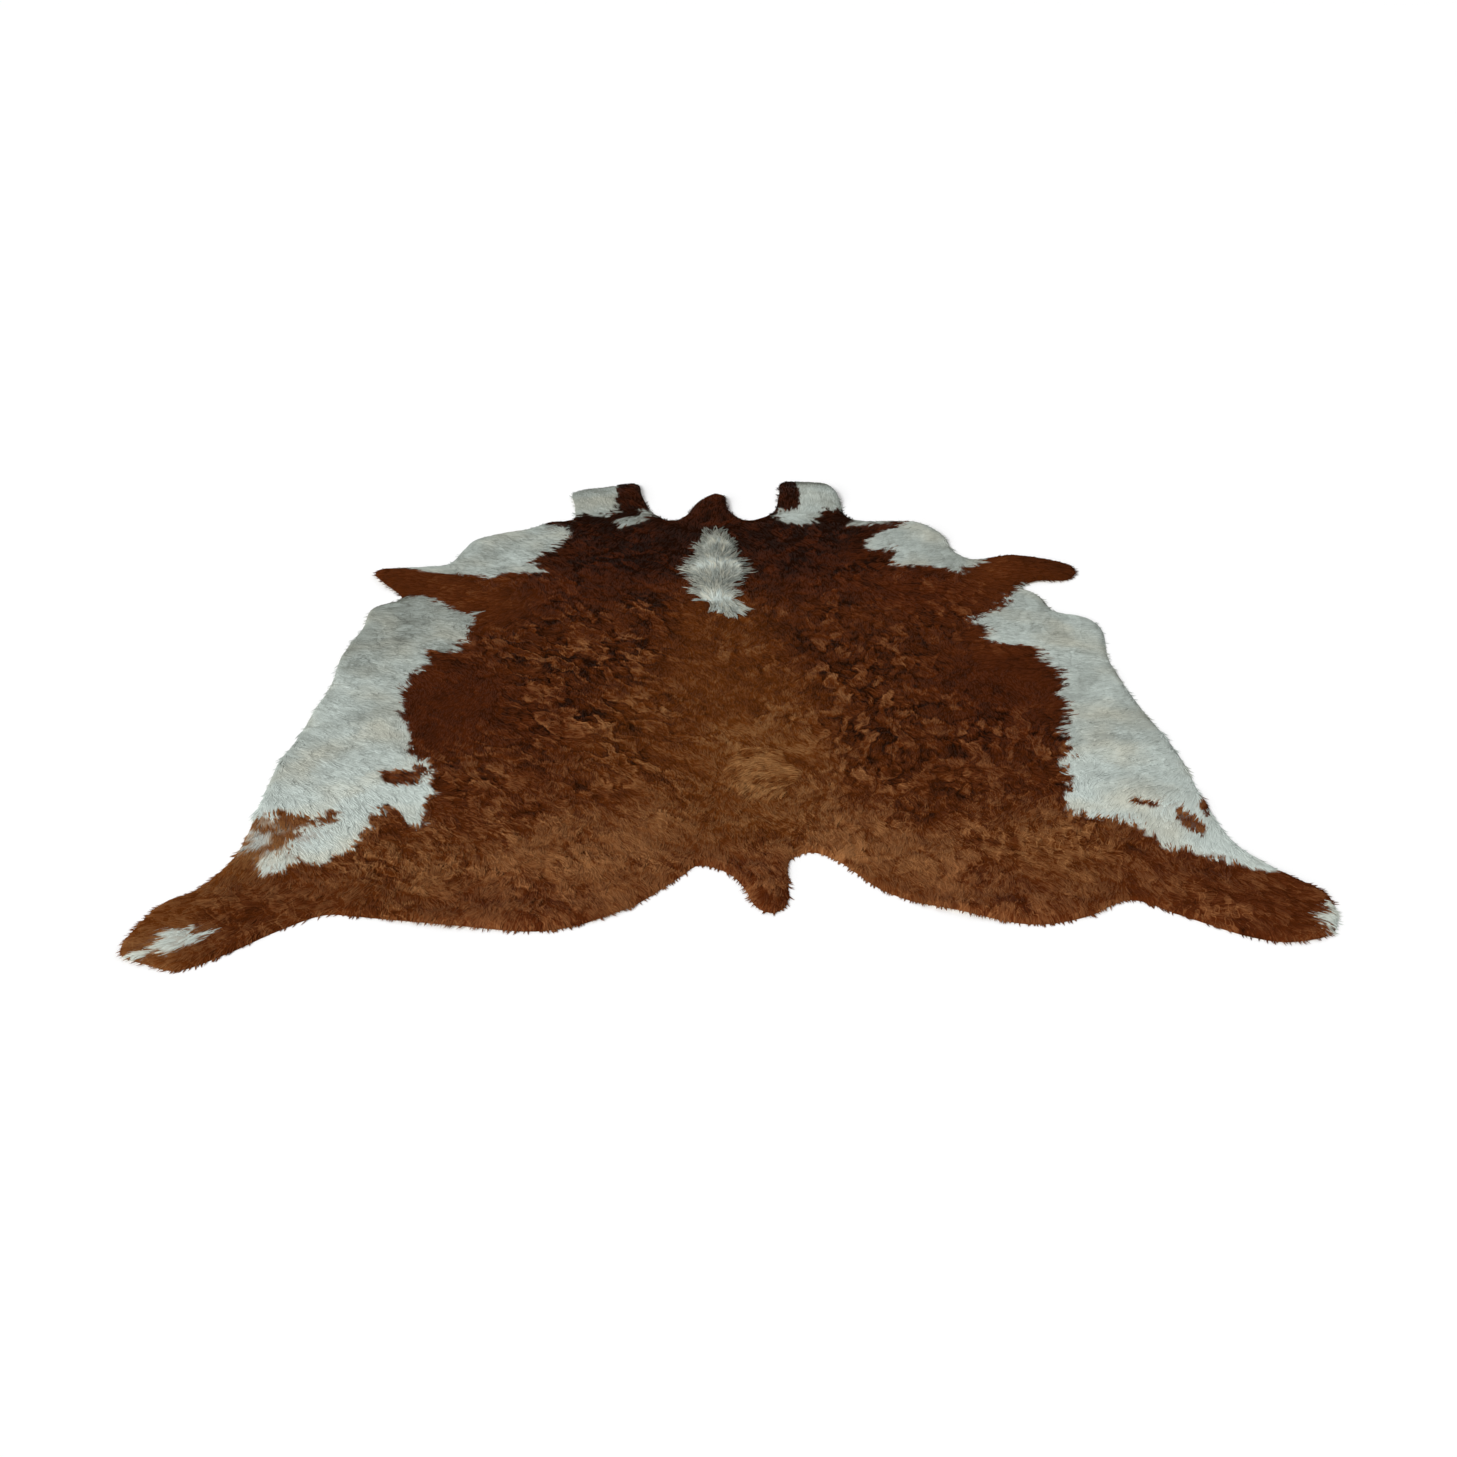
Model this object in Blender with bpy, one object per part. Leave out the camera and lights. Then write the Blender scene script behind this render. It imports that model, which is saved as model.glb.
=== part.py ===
"""A hair-on cattle hide laid out as a floor rug.

One tanned skin with its coat on, in metres. The frame lies on the floor: +X runs across the hide, to the right
as it is seen from the tail, +Y runs along the spine towards the neck, and +Z is up. The origin is on the floor
under the middle of the hide, half way across and half way along.

The hide is one slab. Its outline goes round the tail, the four legs, the belly edges, the two cheek flaps and
the poll, its underside lies on the floor but for a few low folds, and its top is as lumpy as the coat. The coat
ends at the rim in small locks.
"""

import math
from collections import namedtuple

import bmesh
import bpy
import numpy as np
from mathutils import Vector, geometry, noise

# Sizes of the skin and its coat
LEATHER = 0.0025
COAT = 0.0085
RIM_HEIGHT = 0.0030
RIM_SLOPE = 0.020
LOCK_PITCH = 0.028
LOCK_REACH = 0.007

# The coat's unevenness: each size of lump, and how far it raises and lowers the top. The curls are drawn out of
# line by the drift, so that they turn about each other as whorls of hair do.
CURL_SIZE = 0.085
CURL_HEIGHT = 0.0030
SWELL_SIZE = 0.26
SWELL_HEIGHT = 0.0016
DRIFT_SIZE = 0.17
DRIFT = 0.060

# Spacing of the points that the faces are drawn between
TOP_SPACING = 0.0312
UNDER_SPACING = 0.085
RIM_ROW = 0.013
CURVE_STEPS = 12

COAT_COLOUR = (0.105, 0.030, 0.010, 1.0)
COAT_ROUGHNESS = 0.62

# The outline's landmarks, round the hide from the tail by the left side and the neck to the right side
Landmark = namedtuple("Landmark", "name across along")
TAIL = (
    Landmark("tail tip", 0.054, -0.924),
    Landmark("tail side left", 0.012, -0.828),
    Landmark("tail root left", -0.014, -0.795),
    Landmark("tail notch left", -0.065, -0.768),
)
LEFT_RUMP = (
    Landmark("rump inner left", -0.103, -0.803),
    Landmark("rump slope left", -0.206, -0.898),
    Landmark("rump lower left", -0.338, -0.951),
    Landmark("rump bottom left", -0.502, -0.933),
    Landmark("rump outer left", -0.700, -0.887),
    Landmark("hock notch left", -0.750, -0.881),
)
LEFT_HIND_LEG = (
    Landmark("hind shin left", -0.832, -0.927),
    Landmark("hind cannon left", -0.906, -0.984),
    Landmark("hind heel left", -0.984, -1.026),
    Landmark("hind sole left", -1.038, -1.009),
    Landmark("hind toe left", -1.091, -0.978),
    Landmark("hind pastern left", -1.067, -0.869),
    Landmark("hind fetlock left", -1.042, -0.824),
    Landmark("hock left", -1.001, -0.797),
)
LEFT_BELLY = (
    Landmark("stifle left", -0.947, -0.696),
    Landmark("flank left", -0.933, -0.610),
    Landmark("belly rear left", -0.918, -0.400),
    Landmark("belly middle left", -0.886, -0.235),
    Landmark("belly fore left", -0.853, -0.054),
    Landmark("girth left", -0.836, 0.140),
    Landmark("elbow left", -0.809, 0.240),
    Landmark("elbow point left", -0.797, 0.342),
    Landmark("armpit left", -0.735, 0.388),
)
LEFT_FORE_LEG = (
    Landmark("fore shin left", -0.783, 0.463),
    Landmark("fore cannon left", -0.812, 0.515),
    Landmark("fore hoof left", -0.807, 0.548),
    Landmark("fore pastern left", -0.766, 0.558),
    Landmark("fore knee left", -0.684, 0.564),
    Landmark("fore notch left", -0.634, 0.576),
)
LEFT_SHOULDER = (
    Landmark("shoulder low left", -0.601, 0.657),
    Landmark("shoulder point left", -0.580, 0.708),
    Landmark("shoulder middle left", -0.502, 0.751),
    Landmark("shoulder upper left", -0.440, 0.780),
    Landmark("crest left", -0.383, 0.817),
    Landmark("cheek root outer left", -0.328, 0.826),
)
LEFT_CHEEK = (
    Landmark("cheek side outer left", -0.321, 0.895),
    Landmark("cheek corner outer left", -0.325, 1.010),
    Landmark("cheek end left", -0.247, 1.038),
    Landmark("cheek corner inner left", -0.155, 1.048),
    Landmark("cheek side inner left", -0.140, 0.961),
    Landmark("cheek root inner left", -0.108, 0.850),
)
POLL = (
    Landmark("brow notch left", -0.064, 0.806),
    Landmark("poll root left", -0.026, 0.833),
    Landmark("poll side left", 0.010, 0.912),
    Landmark("poll top", 0.058, 0.960),
    Landmark("poll corner", 0.082, 0.945),
    Landmark("poll root right", 0.090, 0.855),
    Landmark("brow notch right", 0.142, 0.794),
)
RIGHT_CHEEK = (
    Landmark("cheek root inner right", 0.208, 0.845),
    Landmark("cheek side inner right", 0.233, 0.945),
    Landmark("cheek corner inner right", 0.253, 1.046),
    Landmark("cheek end right", 0.325, 1.027),
    Landmark("cheek corner outer right", 0.373, 1.002),
    Landmark("cheek side outer right", 0.396, 0.895),
    Landmark("cheek root outer right", 0.401, 0.810),
)
RIGHT_SHOULDER = (
    Landmark("crest right", 0.441, 0.772),
    Landmark("shoulder upper right", 0.531, 0.768),
    Landmark("shoulder middle right", 0.585, 0.744),
    Landmark("shoulder point right", 0.638, 0.648),
    Landmark("shoulder low right", 0.651, 0.574),
    Landmark("fore notch right", 0.692, 0.520),
)
RIGHT_FORE_LEG = (
    Landmark("fore knee right", 0.790, 0.542),
    Landmark("fore cannon right", 0.858, 0.520),
    Landmark("fore hoof right", 0.914, 0.488),
    Landmark("fore toe right", 0.937, 0.449),
    Landmark("fore sole right", 0.906, 0.391),
    Landmark("fore shin right", 0.825, 0.384),
    Landmark("armpit right", 0.782, 0.360),
)
RIGHT_BELLY = (
    Landmark("elbow point right", 0.816, 0.305),
    Landmark("elbow right", 0.836, 0.222),
    Landmark("girth corner right", 0.898, 0.191),
    Landmark("girth right", 0.924, 0.135),
    Landmark("belly fore right", 0.905, -0.030),
    Landmark("belly middle right", 0.918, -0.215),
    Landmark("belly rear right", 0.949, -0.440),
    Landmark("flank right", 0.950, -0.600),
    Landmark("stifle right", 0.966, -0.757),
)
RIGHT_HIND_LEG = (
    Landmark("hock right", 1.020, -0.850),
    Landmark("hind fetlock right", 1.083, -0.927),
    Landmark("hind toe right", 1.084, -0.980),
    Landmark("hind sole right", 1.054, -1.046),
    Landmark("hind heel right", 0.968, -1.067),
    Landmark("hind cannon right", 0.902, -1.046),
    Landmark("hind shin right", 0.800, -0.977),
    Landmark("hock notch right", 0.721, -0.925),
)
RIGHT_RUMP = (
    Landmark("rump outer right", 0.630, -0.970),
    Landmark("rump bottom right", 0.530, -0.987),
    Landmark("rump lower right", 0.400, -0.945),
    Landmark("rump slope right", 0.275, -0.872),
    Landmark("rump inner right", 0.195, -0.766),
    Landmark("tail notch right", 0.150, -0.738),
    Landmark("tail root right", 0.108, -0.762),
    Landmark("tail side right", 0.090, -0.840),
)
OUTLINE = (
    TAIL + LEFT_RUMP + LEFT_HIND_LEG + LEFT_BELLY + LEFT_FORE_LEG + LEFT_SHOULDER + LEFT_CHEEK
    + POLL + RIGHT_CHEEK + RIGHT_SHOULDER + RIGHT_FORE_LEG + RIGHT_BELLY + RIGHT_HIND_LEG + RIGHT_RUMP
)

# Low rises, each a smooth bump. A heading of 0 degrees runs across the hide, and length and width are those of
# the rise's foot. At a fold the whole skin stands off the floor, and at a mound only the coat is deeper.
Rise = namedtuple("Rise", "name across along heading length width height")
FOLDS = (
    Rise("elbow ripple left", -0.83, 0.28, 8, 0.34, 0.16, 0.0060),
    Rise("girth ripple left", -0.87, 0.08, -6, 0.36, 0.15, 0.0070),
    Rise("belly ripple left", -0.90, -0.13, 5, 0.34, 0.17, 0.0065),
    Rise("flank ripple left", -0.93, -0.34, -10, 0.36, 0.15, 0.0070),
    Rise("stifle ripple left", -0.95, -0.54, 12, 0.30, 0.13, 0.0055),
    Rise("shoulder ripple left", -0.56, 0.66, 62, 0.34, 0.14, 0.0060),
    Rise("fore leg arch left", -0.75, 0.49, -12, 0.30, 0.17, 0.0085),
    Rise("hind leg arch left", -1.00, -0.90, 40, 0.44, 0.22, 0.0075),
    Rise("cheek roll left", -0.29, 0.975, 8, 0.30, 0.11, 0.0120),
    Rise("cheek roll right", 0.27, 0.925, -20, 0.26, 0.13, 0.0120),
    Rise("poll rise", 0.00, 0.880, 85, 0.24, 0.12, 0.0070),
    Rise("shoulder ripple right", 0.52, 0.63, -55, 0.34, 0.15, 0.0065),
    Rise("fore leg arch right", 0.80, 0.45, -14, 0.34, 0.19, 0.0110),
    Rise("elbow ripple right", 0.80, 0.17, -12, 0.30, 0.14, 0.0070),
    Rise("belly ripple right", 0.82, -0.10, 8, 0.32, 0.15, 0.0060),
    Rise("flank crease right", 0.83, -0.39, 17, 0.36, 0.10, 0.0080),
    Rise("stifle ripple right", 0.88, -0.60, -14, 0.28, 0.14, 0.0060),
    Rise("hind leg arch right", 0.92, -0.95, -38, 0.44, 0.20, 0.0080),
    Rise("rump roll left", -0.42, -0.905, 2, 0.62, 0.10, 0.0060),
    Rise("rump roll right", 0.47, -0.935, 0, 0.58, 0.10, 0.0070),
    Rise("tail ridge", 0.05, -0.840, 104, 0.22, 0.10, 0.0060),
)
MOUNDS = (
    Rise("neck stripe, upper tier", 0.05, 0.670, 88, 0.22, 0.15, 0.0040),
    Rise("neck stripe, middle tier", 0.04, 0.520, 4, 0.24, 0.15, 0.0070),
    Rise("neck stripe, lower tier", 0.04, 0.350, -4, 0.21, 0.17, 0.0070),
    Rise("whorl on the back", 0.07, -0.420, 70, 0.20, 0.15, 0.0035),
    Rise("whorl on the right flank", 0.36, -0.335, -20, 0.24, 0.12, 0.0035),
    Rise("whorl on the left flank", -0.40, -0.060, 35, 0.26, 0.13, 0.0035),
    Rise("rump curls left", -0.36, -0.760, -8, 0.42, 0.13, 0.0030),
    Rise("rump curls right", 0.46, -0.790, 10, 0.40, 0.13, 0.0030),
)


def curve_through(landmarks):
    """Points on a closed centripetal Catmull-Rom curve through the landmarks, with CURVE_STEPS to each stretch."""
    marks = np.array([(mark.across, mark.along) for mark in landmarks])
    before, start, end, beyond = (np.roll(marks, shift, axis=0)[:, None, :] for shift in (1, 0, -1, -2))
    knots = [np.zeros((len(marks), 1, 1))]
    for a, b in ((before, start), (start, end), (end, beyond)):
        knots.append(knots[-1] + np.sqrt(np.linalg.norm(b - a, axis=2, keepdims=True)))
    steps = np.linspace(0.0, 1.0, CURVE_STEPS, endpoint=False)[None, :, None]
    here = knots[1] + (knots[2] - knots[1]) * steps

    def blend(a, b, i, j):
        return a + (b - a) * (here - knots[i]) / (knots[j] - knots[i])

    first, second, third = blend(before, start, 0, 1), blend(start, end, 1, 2), blend(end, beyond, 2, 3)
    first, second = blend(first, second, 0, 2), blend(second, third, 1, 3)
    return blend(first, second, 1, 2).reshape(-1, 2)


def evenly_spaced(loop, spacing):
    """An even number of points round a closed loop, about spacing apart."""
    closed = np.vstack([loop, loop[:1]])
    run = np.concatenate([[0.0], np.cumsum(np.linalg.norm(np.diff(closed, axis=0), axis=1))])
    count = 2 * round(run[-1] / spacing / 2)
    at = np.linspace(0.0, run[-1], count, endpoint=False)
    return np.stack([np.interp(at, run, closed[:, axis]) for axis in (0, 1)], axis=1)


def outward(loop):
    """The direction away from the hide at each point of a loop that runs clockwise."""
    along = np.roll(loop, -1, axis=0) - np.roll(loop, 1, axis=0)
    along /= np.linalg.norm(along, axis=1)[:, None]
    return np.stack([-along[:, 1], along[:, 0]], axis=1)


def with_locks(loop):
    """The loop with every second point drawn out, as the tips of the locks that end the coat."""
    reach = np.where(np.arange(len(loop)) % 2 == 0, LOCK_REACH, -0.3 * LOCK_REACH)
    return loop + outward(loop) * reach[:, None]


def distance_to(loop, points):
    """How far each point is from a closed loop."""
    starts, ends = loop, np.roll(loop, -1, axis=0)
    sides = ends - starts
    away = points[:, None, :] - starts[None, :, :]
    share = np.clip((away * sides).sum(axis=2) / (sides * sides).sum(axis=1), 0.0, 1.0)
    return np.linalg.norm(away - share[..., None] * sides, axis=2).min(axis=1)


def is_inside(loop, points):
    """Whether each point is inside a closed loop, by counting the sides to its right."""
    x, y = points[:, :1], points[:, 1:]
    x0, y0 = loop.T
    x1, y1 = np.roll(loop, -1, axis=0).T
    crosses = (y0 > y) != (y1 > y)
    rise = np.where(y1 == y0, 1.0, y1 - y0)
    return (crosses & (x < x0 + (y - y0) * (x1 - x0) / rise)).sum(axis=1) % 2 == 1


def points_within(loop, spacing, margin):
    """Points of a triangular lattice that lie inside the loop and at least margin from it."""
    low, high = loop.min(axis=0), loop.max(axis=0)
    row_height = spacing * math.sqrt(3) / 2
    rows = np.arange(low[1], high[1], row_height)
    columns = np.arange(low[0], high[0], spacing)
    x, y = np.meshgrid(columns, rows)
    x = x + np.where(np.arange(len(rows)) % 2 == 0, 0.0, spacing / 2)[:, None]
    points = np.stack([x.ravel(), y.ravel()], axis=1)
    points = points[is_inside(loop, points)]
    return points[distance_to(loop, points) > margin]


def rim_row(rim, smooth_loop):
    """Points RIM_ROW inside the rim, beside every second lock, where the coat has nearly its full height."""
    row = (smooth_loop - outward(smooth_loop) * RIM_ROW)[1::4]
    row = row[is_inside(rim, row)]
    return row[distance_to(rim, row) > 0.7 * RIM_ROW]


def rises(points, table):
    """The height of a table's rises at each point. Each is a smooth bump that ends at its foot."""
    height = np.zeros(len(points))
    for rise in table:
        turn = math.radians(rise.heading)
        x, y = points[:, 0] - rise.across, points[:, 1] - rise.along
        u = (x * math.cos(turn) + y * math.sin(turn)) / (rise.length / 2)
        v = (y * math.cos(turn) - x * math.sin(turn)) / (rise.width / 2)
        height += rise.height * np.clip(1.0 - u * u - v * v, 0.0, None) ** 2
    return height


def lumps(points, size, layer=0.0):
    """Smooth unevenness between about -1 and 1, with lumps of the given size. Each layer has its own lumps."""
    return np.array([noise.noise(Vector((x / size, y / size, layer))) for x, y in points])


def drifted(points):
    """The points moved sideways by a wandering drift, which bends any pattern read at them."""
    drift = [lumps(points, DRIFT_SIZE, layer) for layer in (3.5, 7.5)]
    return points + DRIFT * np.stack(drift, axis=1)


def coat_top(points, rim):
    """The top of the coat: lower at the rim, and lumpy where it has its full depth."""
    edge = np.clip(distance_to(rim, points) / RIM_SLOPE, 0.0, 1.0)
    fullness = np.sqrt(edge * (2.0 - edge))
    uneven = CURL_HEIGHT * lumps(drifted(points), CURL_SIZE) + SWELL_HEIGHT * lumps(points, SWELL_SIZE)
    depth = LEATHER + COAT - RIM_HEIGHT + uneven + rises(points, MOUNDS)
    return rises(points, FOLDS) + RIM_HEIGHT + depth * fullness


def faces_between(rim, inner):
    """Triangles over the hide's outline, through the rim's points and the inner ones."""
    points = [Vector(point) for point in np.vstack([rim, inner])]
    edges = [(i, (i + 1) % len(rim)) for i in range(len(rim))]
    made, _, faces, origins, _, _ = geometry.delaunay_2d_cdt(points, edges, [], 1, 1e-7)
    if len(made) != len(points):
        raise ValueError("the outline crosses itself")
    return [[origins[corner][0] for corner in face] for face in faces]


def face_outwards(mesh):
    """Gives a mesh consistent normals that point out of it."""
    shape = bmesh.new()
    shape.from_mesh(mesh)
    bmesh.ops.recalc_face_normals(shape, faces=shape.faces)
    shape.to_mesh(mesh)
    shape.free()


def coat_material():
    """Red-brown cattle hair, which is dull and a little silky."""
    material = bpy.data.materials.new("cattle_hair")
    material.use_nodes = True
    shader = material.node_tree.nodes["Principled BSDF"]
    shader.inputs["Base Color"].default_value = COAT_COLOUR
    shader.inputs["Roughness"].default_value = COAT_ROUGHNESS
    shader.inputs["Metallic"].default_value = 0.0
    material.diffuse_color = COAT_COLOUR
    return material


def make_hide():
    """The hide: a lumpy top, an underside on the floor, and a low wall of lock ends between them."""
    smooth_loop = evenly_spaced(curve_through(OUTLINE), LOCK_PITCH / 2)
    rim = with_locks(smooth_loop)
    middle = (rim.min(axis=0) + rim.max(axis=0)) / 2
    smooth_loop, rim = smooth_loop - middle, rim - middle
    inner_points = points_within(rim, TOP_SPACING, RIM_ROW + 0.4 * TOP_SPACING)
    top_inner = np.vstack([rim_row(rim, smooth_loop), inner_points])
    under_inner = points_within(rim, UNDER_SPACING, 0.4 * UNDER_SPACING)

    count, top_count = len(rim), len(rim) + len(top_inner)
    top = np.vstack([rim, top_inner])
    under = np.vstack([rim, under_inner])
    vertices = np.vstack([
        np.column_stack([top, coat_top(top, rim)]),
        np.column_stack([under, rises(under, FOLDS)]),
    ])
    faces = faces_between(rim, top_inner)
    faces += [[top_count + corner for corner in face] for face in faces_between(rim, under_inner)]
    for i in range(count):
        after = (i + 1) % count
        faces.append([i, after, top_count + after, top_count + i])

    mesh = bpy.data.meshes.new("hide")
    mesh.from_pydata(vertices.tolist(), [], faces)
    mesh.materials.append(coat_material())
    mesh.shade_smooth()
    face_outwards(mesh)
    hide = bpy.data.objects.new("hide", mesh)
    bpy.context.scene.collection.objects.link(hide)


def main():
    for thing in list(bpy.data.objects):
        bpy.data.objects.remove(thing)
    make_hide()


main()
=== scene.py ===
"""A hair-on cattle hide laid out as a floor rug: the skin, and its coat in locks of hair."""

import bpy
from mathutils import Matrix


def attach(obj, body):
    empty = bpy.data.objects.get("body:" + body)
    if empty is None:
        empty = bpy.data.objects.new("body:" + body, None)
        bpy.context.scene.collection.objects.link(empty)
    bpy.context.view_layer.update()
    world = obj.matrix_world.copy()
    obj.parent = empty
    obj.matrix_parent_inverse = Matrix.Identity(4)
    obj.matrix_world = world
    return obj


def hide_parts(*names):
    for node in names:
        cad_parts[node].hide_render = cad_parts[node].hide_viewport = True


bl_info = {
    "name": "Cowhide rug",
    "version": (1, 0, 0),
    "blender": (4, 5, 0),
    "location": "3D View > Sidebar > Cowhide",
    "description": "Lays a tanned cattle skin on the floor and grows its coat on it, lock by lock",
    "category": "Object",
}

import functools
import math

import bmesh
import bpy
import numpy as np
from bpy.props import FloatProperty, FloatVectorProperty, IntProperty, PointerProperty
from bpy.types import Operator, Panel, PropertyGroup
from mathutils import Vector, geometry

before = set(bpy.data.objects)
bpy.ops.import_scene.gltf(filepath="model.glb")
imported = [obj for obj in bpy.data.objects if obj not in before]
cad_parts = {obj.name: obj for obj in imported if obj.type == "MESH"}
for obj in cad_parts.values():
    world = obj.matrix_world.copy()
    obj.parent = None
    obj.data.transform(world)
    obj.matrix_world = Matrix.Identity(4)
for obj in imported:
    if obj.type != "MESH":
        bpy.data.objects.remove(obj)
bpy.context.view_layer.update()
NODE = "hide"

# The tables below are in metres across and along the hide, read from one corner of its pattern. This is where
# that pattern's own origin lies on the floor.
PATTERN_ORIGIN = (0.00304, 0.00702)

# The hide's outline, clockwise from the tail, as seen from above
TAIL = ((0.060, -0.926), (0.034, -0.908), (0.014, -0.845), (-0.010, -0.798), (-0.065, -0.768))
LEFT_RUMP = ((-0.103, -0.803), (-0.206, -0.898), (-0.338, -0.951), (-0.502, -0.933), (-0.700, -0.887),
             (-0.750, -0.881))
LEFT_HIND_LEG = ((-0.832, -0.927), (-0.906, -0.984), (-0.984, -1.026), (-1.038, -1.009), (-1.091, -0.978),
                 (-1.067, -0.869), (-1.042, -0.824), (-1.001, -0.797))
LEFT_BELLY = ((-0.947, -0.696), (-0.933, -0.610), (-0.918, -0.400), (-0.886, -0.235), (-0.853, -0.054),
              (-0.836, 0.140), (-0.809, 0.240), (-0.797, 0.342), (-0.735, 0.388))
LEFT_FORE_LEG = ((-0.783, 0.463), (-0.812, 0.515), (-0.807, 0.548), (-0.766, 0.558), (-0.684, 0.564),
                 (-0.634, 0.576))
LEFT_SHOULDER = ((-0.601, 0.657), (-0.580, 0.708), (-0.502, 0.751), (-0.440, 0.780), (-0.383, 0.817),
                 (-0.328, 0.826))
LEFT_CHEEK = ((-0.321, 0.895), (-0.325, 1.010), (-0.247, 1.038), (-0.155, 1.048), (-0.140, 0.961),
              (-0.108, 0.850))
POLL = ((-0.064, 0.806), (-0.026, 0.833), (0.010, 0.912), (0.058, 0.960), (0.082, 0.945), (0.090, 0.855),
        (0.142, 0.794))
RIGHT_CHEEK = ((0.208, 0.845), (0.233, 0.945), (0.253, 1.046), (0.325, 1.027), (0.373, 1.002),
               (0.396, 0.895), (0.401, 0.810))
RIGHT_SHOULDER = ((0.441, 0.772), (0.531, 0.768), (0.585, 0.744), (0.638, 0.648), (0.651, 0.574),
                  (0.692, 0.520))
RIGHT_FORE_LEG = ((0.790, 0.542), (0.858, 0.520), (0.914, 0.488), (0.937, 0.449), (0.906, 0.391),
                  (0.825, 0.384), (0.782, 0.360))
RIGHT_BELLY = ((0.816, 0.305), (0.836, 0.222), (0.898, 0.191), (0.924, 0.135), (0.905, -0.030),
               (0.918, -0.215), (0.949, -0.440), (0.950, -0.600), (0.966, -0.757))
RIGHT_HIND_LEG = ((1.020, -0.850), (1.083, -0.927), (1.084, -0.980), (1.054, -1.046), (0.968, -1.067),
                  (0.902, -1.046), (0.800, -0.977), (0.721, -0.925))
RIGHT_RUMP = ((0.630, -0.970), (0.530, -0.987), (0.400, -0.945), (0.275, -0.872), (0.195, -0.766),
              (0.150, -0.738), (0.108, -0.762), (0.098, -0.840), (0.086, -0.908))
OUTLINE = (TAIL + LEFT_RUMP + LEFT_HIND_LEG + LEFT_BELLY + LEFT_FORE_LEG + LEFT_SHOULDER + LEFT_CHEEK + POLL
           + RIGHT_CHEEK + RIGHT_SHOULDER + RIGHT_FORE_LEG + RIGHT_BELLY + RIGHT_HIND_LEG + RIGHT_RUMP)

# Low rises of the whole skin off the floor: across, along, heading in degrees, length, width, height
FOLDS = (
    (-0.83, 0.28, 8, 0.34, 0.16, 0.0060), (-0.87, 0.08, -6, 0.36, 0.15, 0.0070),
    (-0.90, -0.13, 5, 0.34, 0.17, 0.0065), (-0.93, -0.34, -10, 0.36, 0.15, 0.0070),
    (-0.95, -0.54, 12, 0.30, 0.13, 0.0055), (-0.56, 0.66, 62, 0.34, 0.14, 0.0060),
    (-0.75, 0.49, -12, 0.30, 0.17, 0.0085), (-1.00, -0.90, 40, 0.44, 0.22, 0.0075),
    (-0.25, 0.960, 6, 0.34, 0.17, 0.0080), (0.31, 0.940, -12, 0.32, 0.17, 0.0090),
    (-0.14, 1.020, 60, 0.26, 0.20, 0.0070), (0.37, 0.990, -60, 0.30, 0.22, 0.0090),
    (0.09, 0.920, 70, 0.24, 0.18, 0.0080), (0.62, 0.700, -60, 0.30, 0.16, 0.0090),
    (0.03, 0.890, 65, 0.26, 0.15, 0.0060), (0.52, 0.66, -45, 0.36, 0.19, 0.0070),
    (0.80, 0.45, -14, 0.34, 0.19, 0.0110), (0.80, 0.17, -12, 0.30, 0.14, 0.0070),
    (0.82, -0.10, 8, 0.32, 0.15, 0.0060), (0.83, -0.39, 17, 0.36, 0.10, 0.0080),
    (0.88, -0.60, -14, 0.28, 0.14, 0.0060), (0.92, -0.95, -38, 0.44, 0.20, 0.0080),
    (-0.42, -0.905, 2, 0.62, 0.10, 0.0060), (0.47, -0.935, 0, 0.58, 0.10, 0.0070),
    (0.05, -0.840, 104, 0.22, 0.10, 0.0060),
)
# Rises of the coat alone, in the same columns
MOUNDS = (
    (0.05, 0.670, 88, 0.22, 0.15, 0.0040), (0.04, 0.520, 4, 0.24, 0.15, 0.0070),
    (0.04, 0.350, -4, 0.21, 0.17, 0.0070), (0.07, -0.420, 70, 0.20, 0.15, 0.0035),
    (0.36, -0.335, -20, 0.24, 0.12, 0.0035), (-0.40, -0.060, 35, 0.26, 0.13, 0.0035),
    (-0.36, -0.760, -8, 0.42, 0.13, 0.0030), (0.46, -0.790, 10, 0.40, 0.13, 0.0030),
)

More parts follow.
